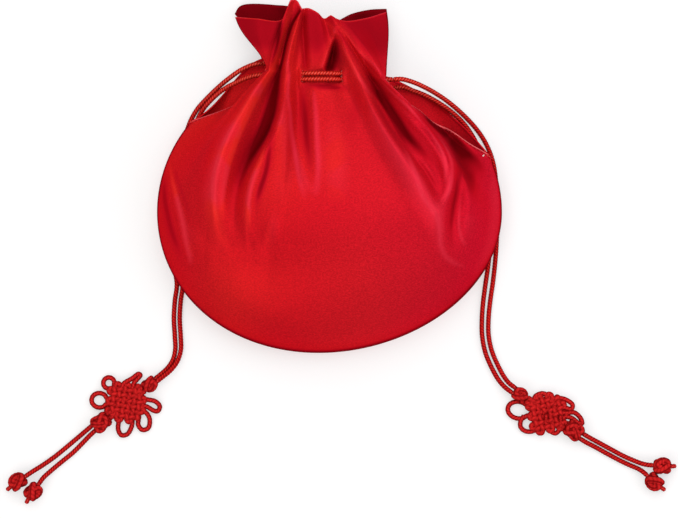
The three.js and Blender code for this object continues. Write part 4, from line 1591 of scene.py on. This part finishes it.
@dataclass(frozen=True)
class FrontPanel(Panel):
    """The panel on top, swollen and gathered into folds."""

    crown: float = 53.0
    fold_depth: float = 1.4
    fold_reach: float = 0.24
    edge_level: float = 20.0
    mid_rise: float = 6.0
    gather_unit: float = 3.0
    side_power: float = 3.2
    seam_powers: Pair = (2.2, 0.6)
    rise_power: float = 1.3
    neck_power: float = 1.5

    def heights(self, neck: Array, edge: Array, share: float) -> Array:
        """The front's height: a dome with gathers that fade out below the neck.

        Args:
            neck: the panel's points at the neck.
            edge: 0 in the middle of the panel and 1 at its slit edges.
            share: 0 at the neck and 1 at the seam.

        Returns:
            One height for each point at the neck.
        """
        side = 1 - edge**self.side_power
        fullness, roundness = self.seam_powers
        swell = max(0.0, 1 - share**fullness) ** roundness * share**self.rise_power * (2 - share)
        gather = neck[:, 2] - self.edge_level - self.mid_rise * side
        along = share / self.fold_reach
        fold = gather / self.gather_unit * self.fold_depth * along * math.exp(1 - along) * (1 - share)
        base = SEAM_HEIGHT + (neck[:, 2] - SEAM_HEIGHT) * (1 - share) ** self.neck_power
        return base + self.crown * side * swell + fold


@dataclass(frozen=True)
class BackPanel(Panel):
    """The panel underneath, flat on the ground in the middle."""

    floor_from: float = 0.3
    floor_to: float = 0.7
    floor_to_at_slits: float = 0.25
    slit_power: int = 4
    seam_power: int = 2
    neck_power: float = 1.5

    def heights(self, neck: Array, edge: Array, share: float) -> Array:
        """The back's height: flat in the middle, rising to the seam and to the neck.

        Args:
            neck: the panel's points at the neck.
            edge: 0 in the middle of the panel and 1 at its slit edges.
            share: 0 at the neck and 1 at the seam.

        Returns:
            One height for each point at the neck.
        """
        floor_to = self.floor_to + (self.floor_to_at_slits - self.floor_to) * edge**self.slit_power
        to_seam = np.maximum(0.0, (share - floor_to) / (1 - floor_to))
        to_neck = max(0.0, (self.floor_from - share) / self.floor_from)
        return SEAM_HEIGHT * to_seam**self.seam_power + neck[:, 2] * to_neck**self.neck_power


FRONT_FOLDS: tuple[FoldLine, ...] = (
    FoldLine((-31.75, 54.5, 19.5), (-47.25, 80, 10), LEFT_SLIT_END, -9, 3, -2.6),
    FoldLine((-31.25, 54, 20), (-36.25, 79, 15), 163, -2, 0, -1.4),
    FoldLine((-30.75, 53.5, 21), (-24.25, 78.2, 16), 196, 6),
    FoldLine((-29.75, 52.5, 29), (-19.75, 86.5, 25), 226, 11),
    FoldLine((-25.25, 52, 24.5), (-16.75, 88, 22), 232, 7),
    FoldLine((-21.25, 51.5, 28.5), (-13.75, 83, 25), 239, 3),
    FoldLine((-19, 51, 27), (-13.25, 83.25, 24), 247, -3),
    FoldLine((-15.75, 50.75, 23.5), (-12.5, 83.75, 21), 253, -2),
    FoldLine((-12.25, 50.5, 24), (-10.25, 83.75, 23), 260, 0),
    FoldLine((-2.25, 50, 24.5), (-5.75, 81.5, 23.5), 290, 0),
    FoldLine((5.25, 50, 22.5), (-2.75, 78.75, 21), 317, 0),
    FoldLine((13.75, 49.5, 29), (0.75, 80, 26), 330, 0),
    FoldLine((20.25, 49, 25), (3.75, 78.5, 23), 336, 4),
    FoldLine((25.75, 48.75, 28.5), (7.75, 77.5, 22), 343, 7),
    FoldLine((27, 48.75, 22), (18.25, 79.25, 15), 359, 2),
    FoldLine((28, 49, 19.5), (28.25, 82.5, 10), RIGHT_SLIT_END, -4.2, 1.8, 1.4, 2),
)
FRONT_CREASES: tuple[Crease, ...] = (
    # Left main ridge, the deep valley beside it, and the ridges after that
    Crease(((-34.8, 42.2, 0.5), (-42.2, 32, 1.5), (-48.75, 23, 2.2), (-52.6, 14, 2.6), (-55.25, 4, 3),
            (-57, -6, 3), (-57, -14, 2.8), (-55.25, -22.5, 2.2), (-51.25, -32.5, 1.2), (-46.25, -40, 0)),
           5, 3.6, spread=1.4),
    Crease(((-25.4, 52, -2.5), (-26.2, 42.2, -6), (-28, 32.2, -7.5), (-31.4, 23, -7.5), (-36.8, 13.5, -6.5),
            (-42.2, 3.5, -5), (-45.8, -8, -3.6), (-46.8, -20, -2.2), (-44.1, -32, -1), (-41, -44, 0)),
           2.8, 5.8, spread=1.15),
    Crease(((-23.5, 35, 0.4), (-26.4, 25, 1.4), (-29.6, 17, 2), (-33.75, 8.5, 2.2), (-37.8, -0.25, 2.2),
            (-39.75, -9, 2), (-40.4, -19, 1.6), (-39.9, -29, 0.9), (-39, -40, 0)), 4, 2.2, spread=1.5),
    Crease(((-33, -2, 0), (-36, -14, -1.2), (-36.6, -24, -1.6), (-35.6, -34, -1), (-34, -44, 0)),
           3.5, 2.4, spread=1.3),
    Crease(((-23.8, 44, 0.8), (-23, 32, 1.8), (-22.3, 18, 1.8), (-21.6, 6, 1.4), (-22.4, -8, 0.8),
            (-25.5, -20, 0)), 2.8, 5),
    Crease(((-25, -15, 0), (-28, -24, 1), (-31.5, -32.5, 0.9), (-34.5, -42, 0)), 3.5, 2.8),
    # Middle
    Crease(((-16, 46, -1), (-15.2, 38, -2.4), (-14.8, 27, -3), (-14.6, 15, -2.6), (-12.4, 3, -1.8),
            (-8.6, -6.5, -0.8), (-5, -14, 0)), 6, 2.8, spread=1.4),
    Crease(((-7.8, 44.5, 0.4), (-7.6, 33, 0.9), (-7.2, 18, 0.8), (-4.8, -4, 0)), 3, 2.5),
    # Right main ridge and where it turns under, the valley, the small fold in it, and the second ridge
    Crease(((17.8, 47.2, 0.6), (22.1, 35, 1.6), (26, 26, 2.2), (32.75, 14.75, 2.6), (39, 4.75, 2.8),
            (45.25, -5.25, 2.8), (50.2, -13.5, 2.4), (53.6, -19, 1.5)), 3, 5.5, spread=1.3),
    Crease(((53.6, -19, 1.5), (56, -27.5, 1.5), (58.5, -37, 0.9), (63, -46, 0)), 4, 5),
    Crease(((19, 51, -1.5), (21.4, 42.2, -5), (25.6, 33.5, -6.6), (30.4, 25, -7), (36.2, 16.4, -6.8),
            (41.8, 9.4, -6), (47.6, 2, -5), (51.6, -6, -3.2), (53.4, -12, -0.8)), 6.5, 2.5, spread=0.9),
    Crease(((40.5, 13, 0.2), (44.6, 8.6, 1.4), (48.6, 3.6, 1.7), (52.6, -3, 1.4), (54.2, -8, 0.2)),
           2.2, 1.6, spread=1.0),
    Crease(((27.8, 47.2, 0.3), (36.5, 38.9, 1.5), (45.25, 29.75, 2.4), (52.75, 21.4, 3), (57.75, 14.6, 3.4),
            (60.9, 6, 3.4), (60.9, -2.75, 3), (58.6, -10.5, 2.4), (55.2, -16.2, 1.2)),
           2.6, 2.8, 0.8, spread=1.2),
    Crease(((31.5, 37.25, 0.3), (41.5, 26.4, 1), (49, 18.5, 1.3), (55.1, 8.5, 1.3), (57, 1, 1.1),
            (56.4, -6.5, 0.4)), 1.8, 1.8, spread=1.0),
    # The pocket beyond it, under the hem and down beside the ridge, and the last ridges before the seam
    Crease(((42, 34.5, -1), (49, 28.6, -4.4), (56, 23, -6.6), (62.5, 17.8, -6.6), (68.5, 12, -4),
            (73, 6, 0)), 2.4, 5.5, spread=1.2),
    Crease(((59, 20, -1), (62.6, 11, -3.6), (64, 2, -4.4), (63.6, -6, -3.8), (62, -16, -2.8),
            (60.8, -27, -1.6), (63, -40, 0)), 3.6, 2.6, spread=1.3),
    Crease(((66, 6, 0), (68.4, -3, 0.9), (68.6, -11, 1.2), (67.4, -19, 1.2), (67.4, -27, 0.9),
            (70, -36, 0)), 5, 3, spread=1.2),
    # Far left
    Crease(((-80, 6, 0), (-74.8, -9, 1.2), (-72.2, -19, 1.3), (-69.2, -31.5, 0.9), (-66, -43, 0)), 5, 4),
    Crease(((-77, 2, 0), (-70.5, -13, -0.9), (-65.5, -31, 0)), 3.5, 3.5),
    # Ruffle
    Crease(((-17.8, 86.5, 1), (-21.2, 73.5, 2), (-25.2, 64.5, 2), (-28.8, 56.5, 1)), 3, 3, spread=1.0),
    Crease(((-15.2, 84.5, -1), (-19.2, 74.5, -3.5), (-22.2, 66, -4), (-24.8, 55, -2.5)),
           2.0, 2.0, spread=1.0),
    Crease(((-13.2, 82.5, 1), (-16.8, 75.5, 1.6), (-19.8, 67.5, 1.6), (-21.8, 54, 1)),
           2.2, 1.8, spread=1.0),
    Crease(((-13.4, 79, -2), (-12.6, 66, -3), (-12, 55, -2.4)), 1.6, 1.6, spread=1.0),
    Crease(((2.8, 72.5, 0.6), (-0.4, 63, 1.2), (-4, 54, 0.8)), 1.2, 2.5, spread=1.0),
    Crease(((4, 71, -1), (2.6, 66, -3.6), (1.2, 61, -4.8), (0.2, 56.5, -4.6), (-0.8, 53.6, -2.4)),
           3, 0.9, spread=1.4),
    Crease(((-2.5, 78, 0.4), (3.25, 71, 1.2), (8.75, 60, 1.6), (16.25, 47.5, 1.3), (21, 40, 0.4)),
           1.3, 3, spread=1.0),
    Crease(((4.25, 74.5, -1), (7.75, 69.5, -2.4), (14.25, 58.5, -3), (19.5, 50.5, -2.5), (23, 45, 0)),
           1.1, 1.1, spread=1.0),
    Crease(((4, 77, 0.4), (8.4, 70.5, 1.3), (16.4, 60, 1.6), (24, 51.5, 1.4), (29.5, 45.5, 0.3)),
           2.2, 1.5, spread=1.0),
    # Ends of the buttonhole
    Crease(((-14.6, 53.4, 1.3), (-14.4, 50, 1.7), (-14.6, 46.4, 1.3)), 1.3, 1.3, spread=1.0),
    Crease(((7.2, 53.4, 0.9), (7, 50, 1.2), (7.2, 46.4, 0.9)), 1.2, 1.2, spread=1.0),
)
# Painted light lines, in shade: painted highlights where the rise is positive and painted shade where it is
# negative.
FRONT_PAINTED_LIGHT: tuple[Crease, ...] = (
    # Left rolls, from the rim through the neck and down the body
    Crease(((-20.25, 82, 0.1), (-21.25, 74.5, 0.2), (-22.75, 68, 0.25), (-25.25, 61, 0.25),
            (-28.25, 54.5, 0.25), (-32.25, 48.5, 0.22), (-37.25, 41.8, 0.22), (-42.25, 33.5, 0.24),
            (-48.1, 23.5, 0.26), (-53.1, 12.7, 0.26), (-56, 2.7, 0.28), (-57.1, -5.7, 0.26),
            (-56.4, -16.5, 0.2), (-54, -26, 0)), 0.75, 0.75, spread=1.5),
    Crease(((-22, 70, 0.15), (-24, 62, 0.3), (-26.2, 56, 0.4), (-28.9, 51, 0.42), (-32.5, 45.5, 0.42),
            (-36.4, 38.5, 0.42), (-39.8, 32, 0.4), (-44.2, 22, 0.38), (-48.6, 9.5, 0.36),
            (-51.4, -2.5, 0.3), (-52.6, -14, 0.16), (-52, -22, 0)), 1.2, 1.1, spread=1.3),
    Crease(((-13.75, 83.5, -0.25), (-16.25, 79.5, -0.38), (-18.25, 76.5, -0.4), (-20.5, 71, -0.4),
            (-22, 66, -0.42), (-23.4, 58.5, -0.42), (-25.6, 50, -0.4), (-27, 41, -0.15)),
           0.8, 0.8, spread=1.4),
    Crease(((-13.75, 82, 0.1), (-16.75, 76.5, 0.25), (-18.75, 69.5, 0.25), (-20.25, 62.5, 0.25),
            (-21.5, 55, 0.2), (-22.25, 46, 0.1)), 0.6, 0.6),
    Crease(((-14.75, 77.5, 0.1), (-16.25, 72.5, 0.2), (-17.25, 66, 0.2), (-18.5, 59.5, 0.05)), 0.6, 0.6),
    Crease(((-20.5, 57, 0.1), (-20, 51, 0.2), (-20.6, 40, 0.22), (-19.2, 31, 0.24), (-18.9, 23.5, 0.22),
            (-16.4, 7.7, 0.22), (-13.9, -5.7, 0.12), (-11, -14, 0)), 0.8, 0.8),
    Crease(((-27, 30, 0), (-28.9, 22.6, 0.1), (-31, 16.8, 0.14), (-34.2, 7.6, 0.14), (-37.4, -0.6, 0.16),
            (-39.3, -9, 0.2), (-39.75, -16.5, 0.18), (-39.5, -28, 0)), 0.75, 0.75),
    Crease(((-26.4, 50, -0.2), (-28, 41, -0.36), (-29.6, 33.5, -0.42), (-31.6, 26, -0.44),
            (-34.6, 18.5, -0.36), (-38.6, 11, -0.2), (-43, 1, -0.12), (-45.4, -9, 0)),
           2.2, 1.8, spread=1.6),
    Crease(((-27.8, 22, -0.2), (-29.6, 12, -0.5), (-31.4, 2, -0.5), (-34.6, -8, -0.4), (-37, -18, 0)),
           1.8, 1.8, spread=1.2),
    Crease(((-24, 76, -0.25), (-25, 70, -0.4), (-26.5, 63, -0.38), (-28.5, 57, -0.2)),
           0.9, 1.6, spread=1.0),
    # Fold beside the left edge
    Crease(((-79.75, 7, 0.05), (-78.25, -1.5, 0.18), (-76.25, -9, 0.22), (-74.25, -16.5, 0.24),
            (-72.5, -24, 0.24), (-71.25, -31.5, 0.22), (-69.5, -39, 0.2), (-68.75, -45.5, 0)), 1.0, 0.9),
    Crease(((-81.6, 4, 0), (-82.25, -2.5, -0.26), (-81.75, -11.5, -0.34), (-80.25, -19, -0.34),
            (-78.4, -26.5, -0.34), (-75.75, -34, -0.3), (-73.5, -40.5, -0.1)), 2.0, 3.0, spread=1.0),
    Crease(((-77.5, 5, 0), (-76.5, 2, -0.2), (-74.6, -4.5, -0.22), (-72, -11.5, -0.22), (-69.6, -19, -0.16),
            (-68, -26, 0)), 1.3, 1.1, spread=1.2),
    # Tongue
    Crease(((-7, 79, -0.1), (-6, 66, -0.12), (-7, 56, -0.06)), 5, 5, spread=1.0),
    Crease(((-13.6, 79, 0.1), (-13, 72, 0.16), (-13, 64, 0.12), (-13, 57, -0.02), (-13.5, 51, -0.05)),
           1.6, 1.4, spread=1.0),
    Crease(((2, 60, -0.1), (0.4, 56.5, -0.25), (-0.2, 53.4, -0.4), (-1, 52.2, -0.3)), 3, 2.5, spread=1.0),
    Crease(((-13, 45.2, -0.1), (-6, 44.8, -0.42), (2, 44.4, -0.42), (8, 43.8, -0.2)), 1.6, 1.6, spread=1.0),
    Crease(((2.25, 72.5, 0.15), (0.75, 67.5, 0.28), (-1.25, 61, 0.3), (-3.75, 54.5, 0.24)),
           0.8, 0.8, spread=1.0),
    # Middle of the body, under the neck cords
    Crease(((-19.2, 31, 0), (-17.4, 20, 0.12), (-14.2, 7, 0.2), (-11, -4, 0.16), (-8, -11, 0)),
           2.2, 2.2, spread=1.3),
    Crease(((-8, 42.5, 0.1), (-6.9, 31, 0.2), (-6.3, 18.5, 0.22), (-5.8, 6, 0.24), (-6.2, -6, 0.14),
            (-7, -12, 0)), 1.1, 1.1, spread=1.8),
    Crease(((-13.4, 44, -0.12), (-12, 30, -0.22), (-10.8, 17, -0.22), (-9.4, 6, -0.12), (-8.6, -2, 0)),
           2.2, 2.2, spread=0.8),
    Crease(((0.5, 33, 0), (3.6, 20, 0.1), (3, 6, 0.14), (3.6, -8, 0.08), (3, -16, 0)), 4.5, 5),
    Crease(((13, 44, -0.14), (13.4, 34, -0.2), (11, 24, -0.12), (10, 16, 0)), 4, 4, spread=1.0),
    # Right rolls, the same way
    Crease(((-3.25, 78, 0.15), (0.75, 74.5, 0.2), (3.25, 71, 0.24), (8.75, 60, 0.28), (12.25, 53.5, 0.28),
            (20.25, 41, 0.28), (25.25, 34.5, 0.28), (33.6, 19.5, 0.28), (39.4, 9.5, 0.28), (42.75, 0, 0.24),
            (46, -9.8, 0.22), (50.4, -16, 0.18), (53.4, -21, 0.16), (54.4, -28, 0.16), (55, -34, 0.16),
            (57.4, -39.4, 0.16), (61.9, -43, 0.14), (66.9, -44.8, 0.06)), 0.85, 0.85, spread=1.5),
    Crease(((4.25, 74.5, 0.1), (7.75, 69.5, 0.18), (11.25, 63.5, 0.2), (14.25, 58.5, 0.18),
            (17.25, 53.5, 0.1), (21.25, 48, 0), (24.5, 42.5, 0)), 0.9, 0.9),
    Crease(((20.5, 50, -0.1), (24, 42.5, -0.3), (28, 36, -0.4), (33.5, 28, -0.4), (38.5, 20.5, -0.34),
            (46, 12, -0.16), (50, 5, 0)), 2.8, 1.8, spread=1.0),
    Crease(((35, 19, 0), (39, 13.5, 0.18), (43, 8, 0.22), (47, 2, 0.14), (51, -5, 0)), 1.6, 1.6),
    Crease(((45, 32, -0.1), (50.5, 27.4, -0.42), (55.5, 23.6, -0.3), (60, 20, 0)), 1.4, 2.6, spread=1.0),
    Crease(((60, 20, 0), (66, 15.5, -0.18), (71, 11, -0.32), (75.5, 5, -0.3), (77.5, -1, -0.1)),
           3, 4, spread=1.0),
    Crease(((66.8, 8, -0.16), (69.4, 1, -0.42), (70.4, -6, -0.38), (70.6, -14, -0.16), (71, -20, 0)),
           4, 4, spread=1.0),
    Crease(((80, 8, 0.05), (82.5, -5, 0.1), (83, -18, 0.12), (80.5, -34, 0.12), (74, -47, 0.05)),
           3.5, 3.5, spread=1.0),
    Crease(((2.75, 77.5, 0.15), (6.25, 72, 0.22), (13.75, 61.5, 0.25), (21.25, 53, 0.3),
            (25.25, 48.5, 0.34), (29.5, 43.5, 0.32), (35.25, 38, 0.28), (47.75, 25, 0.24),
            (55.25, 13.5, 0.24), (57.75, 5, 0.18), (56.9, -2.3, 0.05)), 0.75, 0.75),
    Crease(((5, 76, 0.1), (8.25, 71.5, 0.2), (14.75, 62.5, 0.25), (22.25, 55.5, 0.25), (28.25, 48.5, 0.25),
            (34.25, 42, 0.25), (41, 34.5, 0.26), (52.75, 22, 0.28), (57.75, 14.5, 0.3), (60.6, 7, 0.3),
            (61, 0, 0.28), (59.4, -6.5, 0.24), (56, -11.5, 0.08)), 0.8, 0.8, spread=1.7),
    Crease(((8, 69.5, -0.25), (15.8, 59.8, -0.4), (23.2, 51.2, -0.42), (31.5, 42.6, -0.4),
            (39.4, 35.3, -0.34), (50.5, 23, -0.3), (56.8, 13, -0.26), (59.2, 5.5, -0.2), (59, -1, 0)),
           0.55, 0.55),
    Crease(((39.75, 12, 0.08), (45.25, 8.5, 0.22), (49.4, 3.5, 0.24), (53.6, -1.5, 0.08)),
           0.8, 0.8, spread=1.0),
    Crease(((66, 1, 0.08), (65.7, -8, 0.22), (64.4, -16.5, 0.25), (64, -24.8, 0.22), (65.7, -31.5, 0.16),
            (68.6, -35.7, 0)), 0.7, 0.7),
    Crease(((66.9, -1.5, 0.05), (68.6, -10.7, 0.16), (70.25, -16.5, 0.05)), 0.7, 0.7),
    Crease(((61.9, 4.5, -0.08), (62.75, -6.5, -0.2), (61, -16.5, -0.22), (59.9, -24.8, -0.22),
            (60.25, -34.8, -0.1), (63, -41, 0)), 1.4, 1.4),
)
BACK_FOLDS: tuple[FoldLine, ...] = (
    FoldLine((-34, 59.5, 1.5), (-47.5, 82, 2), LEFT_SLIT_END, 4.4, -4.6),
    FoldLine((-27, 50, 3.2), (-44.5, 86, 3), 176, 1),
    FoldLine((-18, 50, 0.8), (-27, 86.5, 1), 212, 0),
    FoldLine((-10, 50, 3.2), (-17, 85, 4), 240, 0),
    FoldLine((-1, 50, 0.8), (-7, 80, 1.5), 264, 0),
    FoldLine((8, 49.5, 3.2), (1, 77.5, 4), 290, 0),
    FoldLine((17, 49, 0.8), (11, 82, 1.5), 318, 0),
    FoldLine((25, 47.5, 3.2), (20, 84, 3), 350, 2),
    FoldLine((28.2, 50.6, 1.5), (28.5, 84.5, 2), RIGHT_SLIT_END, 4.94, 0, 1.2),
)

FRONT_PANEL = FrontPanel(
    "front_panel_cloth", "front_panel",
    folds=FRONT_FOLDS, creases=FRONT_CREASES, painted_light_lines=FRONT_PAINTED_LIGHT,
    body_rows=120, ruffle_rows=38, columns_per_fold=19, outward=1.0,
    flat=(0.21, 0.21), area=0.0300,
    ruffle_shade=(0.24, 0.35), painted_hem_tones=(0.96, 1.0), painted_rim_tone=0.95,
)
BACK_PANEL = BackPanel(
    "back_panel_cloth", "back_panel",
    folds=BACK_FOLDS, creases=(), painted_light_lines=(),
    body_rows=70, ruffle_rows=24, columns_per_fold=20, outward=-1.0,
    flat=(0.20, 0.20), area=0.0260,
    ruffle_shade=(0.54, 0.54), painted_hem_tones=(0.5, 0.5), painted_rim_tone=0.1,
)


@dataclass(frozen=True)
class Stitches:
    """Rows of sewing stitches along lines, laid by Geometry Nodes."""

    name: str
    pitch: float
    length: float
    width: float
    across: bool = False

    def tree(self) -> bpy.types.NodeTree:
        """Builds the node tree, with the stitch's sizes and thread as named inputs.

        Returns:
            The tree.
        """
        tree = bpy.data.node_groups.new(self.name, "GeometryNodeTree")
        inputs = (("Lines", "Geometry"), ("Pitch", "Float"), ("Length", "Float"), ("Width", "Float"),
                  ("Thread", "Material"))
        for name, kind in inputs:
            tree.interface.new_socket(name, in_out="INPUT", socket_type=f"NodeSocket{kind}")
        tree.interface.new_socket("Stitches", in_out="OUTPUT", socket_type="NodeSocketGeometry")
        given, curve, points, shape, aim, tangent, size, laid, real, dressed, result = (
            tree.nodes.new(kind) for kind in (
                "NodeGroupInput", "GeometryNodeMeshToCurve", "GeometryNodeResampleCurve",
                "GeometryNodeMeshUVSphere", "FunctionNodeAlignRotationToVector", "GeometryNodeInputTangent",
                "ShaderNodeCombineXYZ", "GeometryNodeInstanceOnPoints", "GeometryNodeRealizeInstances",
                "GeometryNodeSetMaterial", "NodeGroupOutput"))
        points.mode = "LENGTH"
        aim.axis = "Y" if self.across else "X"
        shape.inputs["Segments"].default_value = 8
        shape.inputs["Rings"].default_value = 5
        shape.inputs["Radius"].default_value = 0.5
        for source, target in (
            (given.outputs["Lines"], curve.inputs["Mesh"]), (curve.outputs["Curve"], points.inputs["Curve"]),
            (given.outputs["Pitch"], points.inputs["Length"]),
            (tangent.outputs["Tangent"], aim.inputs["Vector"]),
            (given.outputs["Length"], size.inputs["X"]), (given.outputs["Width"], size.inputs["Y"]),
            (given.outputs["Width"], size.inputs["Z"]), (points.outputs["Curve"], laid.inputs["Points"]),
            (shape.outputs["Mesh"], laid.inputs["Instance"]),
            (aim.outputs["Rotation"], laid.inputs["Rotation"]),
            (size.outputs["Vector"], laid.inputs["Scale"]),
            (laid.outputs["Instances"], real.inputs["Geometry"]),
            (real.outputs["Geometry"], dressed.inputs["Geometry"]),
            (given.outputs["Thread"], dressed.inputs["Material"]),
            (dressed.outputs["Geometry"], result.inputs["Stitches"]),
        ):
            tree.links.new(source, target)
        return tree

    def build(self, lines: list[Array], thread: Material) -> Piece:
        """Sews the stitches.

        Args:
            lines: the lines that they follow, in millimetres.
            thread: their finish.

        Returns:
            The piece, as a plain mesh.
        """
        starts = np.cumsum([0] + [len(line) for line in lines])
        edges = [(int(start) + step, int(start) + step + 1)
                 for start, line in zip(starts, lines) for step in range(len(line) - 1)]
        mesh = bpy.data.meshes.new(f"{self.name}_lines")
        mesh.from_pydata((np.vstack(lines) * MM).tolist(), edges, [])
        piece = bpy.data.objects.new(self.name, mesh)
        bpy.context.scene.collection.objects.link(piece)
        modifier = piece.modifiers.new("stitches", "NODES")
        modifier.node_group = self.tree()
        values = {"Pitch": self.pitch * MM, "Length": self.length * MM, "Width": self.width * MM,
                  "Thread": thread}
        for socket in modifier.node_group.interface.items_tree:
            if socket.in_out == "INPUT" and socket.name in values:
                modifier[socket.identifier] = values[socket.name]
        sewn = bpy.data.meshes.new_from_object(piece.evaluated_get(bpy.context.evaluated_depsgraph_get()))
        piece.modifiers.clear()
        sewn.materials.clear()
        sewn.materials.append(thread)
        sewn.polygons.foreach_set("material_index", [0] * len(sewn.polygons))
        piece.data = sewn
        bpy.data.meshes.remove(mesh)
        return piece


HEM_STITCHES = Stitches("hem_stitches", pitch=2.1, length=1.4, width=0.3)
EDGE_STITCHES = Stitches("buttonhole_stitches", pitch=0.5, length=1.2, width=0.26, across=True)
SLIT_TACK = Stitches("slit_tack", pitch=3.0, length=0.9, width=0.8)
SLIT_TACK_ENDS = ((76.7, 10.5), (77.1, 10.9))
BUTTONHOLE_ENDS = (((-13.6, 52.6), (-13.3, 50), (-13.6, 47.2)), ((6.3, 52.6), (6, 50), (6.3, 47.2)))
BUTTONHOLE_STEP = 0.4
HEM_TACK_ROWS = slice(8, 16)


# Studio


@dataclass(frozen=True)
class Lamp:
    """A square soft lamp that looks at a point."""

    name: str
    place: Place
    aim: Place
    width: float
    power: float
    colour: Colour = (1.0, 1.0, 1.0)

    def build(self) -> None:
        """Adds the lamp."""
        light = bpy.data.lights.new(self.name, "AREA")
        light.shape = "SQUARE"
        light.size = self.width
        light.energy = self.power
        light.color = self.colour
        lamp = bpy.data.objects.new(self.name, light)
        bpy.context.scene.collection.objects.link(lamp)
        back = np.array(self.place) - np.array(self.aim)
        lamp.location = self.place
        flat = math.hypot(back[0], back[1])
        lamp.rotation_euler = (math.atan2(flat, back[2]), 0.0, math.atan2(back[0], -back[1]))


@dataclass(frozen=True)
class Studio:
    """The camera straight above, the soft lamps, and the white floor."""

    view_width: float = 0.3395
    middle: Plan = (0.005, -0.04125)
    lens: float = 250.0
    sensor: float = 36.0
    sharp_height: float = 0.010
    clip_end: float = 50.0
    floor_half: float = 2.0
    floor_drop: float = 0.0002
    sky: float = 0.45
    lamps: tuple[Lamp, ...] = (
        Lamp("overhead_softbox", place=(-0.05, 0.75, 1.3), aim=(0.0, 0.0, 0.0), width=1.6, power=9.4),
        Lamp("low_softbox", place=(-0.6, -0.9, 1.0), aim=(0.0, -0.04, 0.0), width=1.0, power=4.8,
             colour=(1.0, 0.93, 0.86)),
        Lamp("right_softbox", place=(1.0, 0.0, 0.8), aim=(0.03, -0.02, 0.0), width=0.9, power=3.6,
             colour=(1.0, 0.88, 0.94)),
    )

    def camera(self) -> None:
        """Adds the camera."""
        data = bpy.data.cameras.new("camera")
        data.lens = self.lens
        data.sensor_width = self.sensor
        data.sensor_fit = "HORIZONTAL"
        data.clip_end = self.clip_end
        camera = bpy.data.objects.new("camera", data)
        bpy.context.scene.collection.objects.link(camera)
        camera.location = (*self.middle, self.sharp_height + self.view_width * self.lens / self.sensor)
        bpy.context.scene.camera = camera

    def floor(self, finish: StudioFloor) -> None:
        """Adds the floor.

        Args:
            finish: its finish.
        """
        half = self.floor_half
        corners = [(-half, -half, 0), (half, -half, 0), (half, half, 0), (-half, half, 0)]
        mesh = bpy.data.meshes.new("floor")
        mesh.from_pydata(corners, [], [(0, 1, 2, 3)])
        mesh.materials.append(finish.material())
        floor = bpy.data.objects.new("floor", mesh)
        floor.location.z = -self.floor_drop
        bpy.context.scene.collection.objects.link(floor)

    def light(self) -> None:
        """Adds the lamps and an even sky."""
        for lamp in self.lamps:
            lamp.build()
        world = bpy.data.worlds.new("studio")
        world.use_nodes = True
        background = world.node_tree.nodes["Background"]
        background.inputs["Color"].default_value = (1.0, 1.0, 1.0, 1.0)
        background.inputs["Strength"].default_value = self.sky
        bpy.context.scene.world = world
        bpy.context.scene.view_settings.view_transform = "Standard"


def main() -> None:
    """Builds the pouch in order and reports each piece."""
    logging.basicConfig(level=logging.INFO, format="%(name)s %(message)s")
    finishes = Finishes()
    studio = Studio()
    studio.camera()
    cords = [finish.material() for finish in (finishes.cord, finishes.lightened_knot_cord)]
    for drawstring in (LEFT_DRAWSTRING, RIGHT_DRAWSTRING):
        drawstring.build(*cords)
    necks = [smooth_route(route, KNOT_STEP) for route in (LEFT_NECK_ROUTE, RIGHT_NECK_ROUTE)]
    front = FRONT_PANEL.build(finishes.satin.material(), necks)
    place_piece(front, Slot.SATIN, FRONT_PANEL.node)
    hems = [FRONT_PANEL.hem_line(side) for side in HEM_SIDES]
    ends = [FRONT_PANEL.on_face(evenly(np.array(end), BUTTONHOLE_STEP)) for end in BUTTONHOLE_ENDS]
    tacks = [hem[HEM_TACK_ROWS] for hem in hems]
    slit_end = FRONT_PANEL.on_face(np.array(SLIT_TACK_ENDS))
    sewn = [
        place_piece(HEM_STITCHES.build(hems, finishes.red_thread.material()), Slot.SATIN),
        place_piece(EDGE_STITCHES.build(ends + tacks, finishes.pale_thread.material()), Slot.SATIN),
        place_piece(SLIT_TACK.build([slit_end], finishes.white_thread.material()), Slot.SATIN),
    ]
    back = BACK_PANEL.build(finishes.satin_back.material(), [])
    place_piece(back, Slot.SATIN_BACK, BACK_PANEL.node)
    studio.floor(finishes.floor)
    studio.light()


if __name__ == "__main__":
    main()
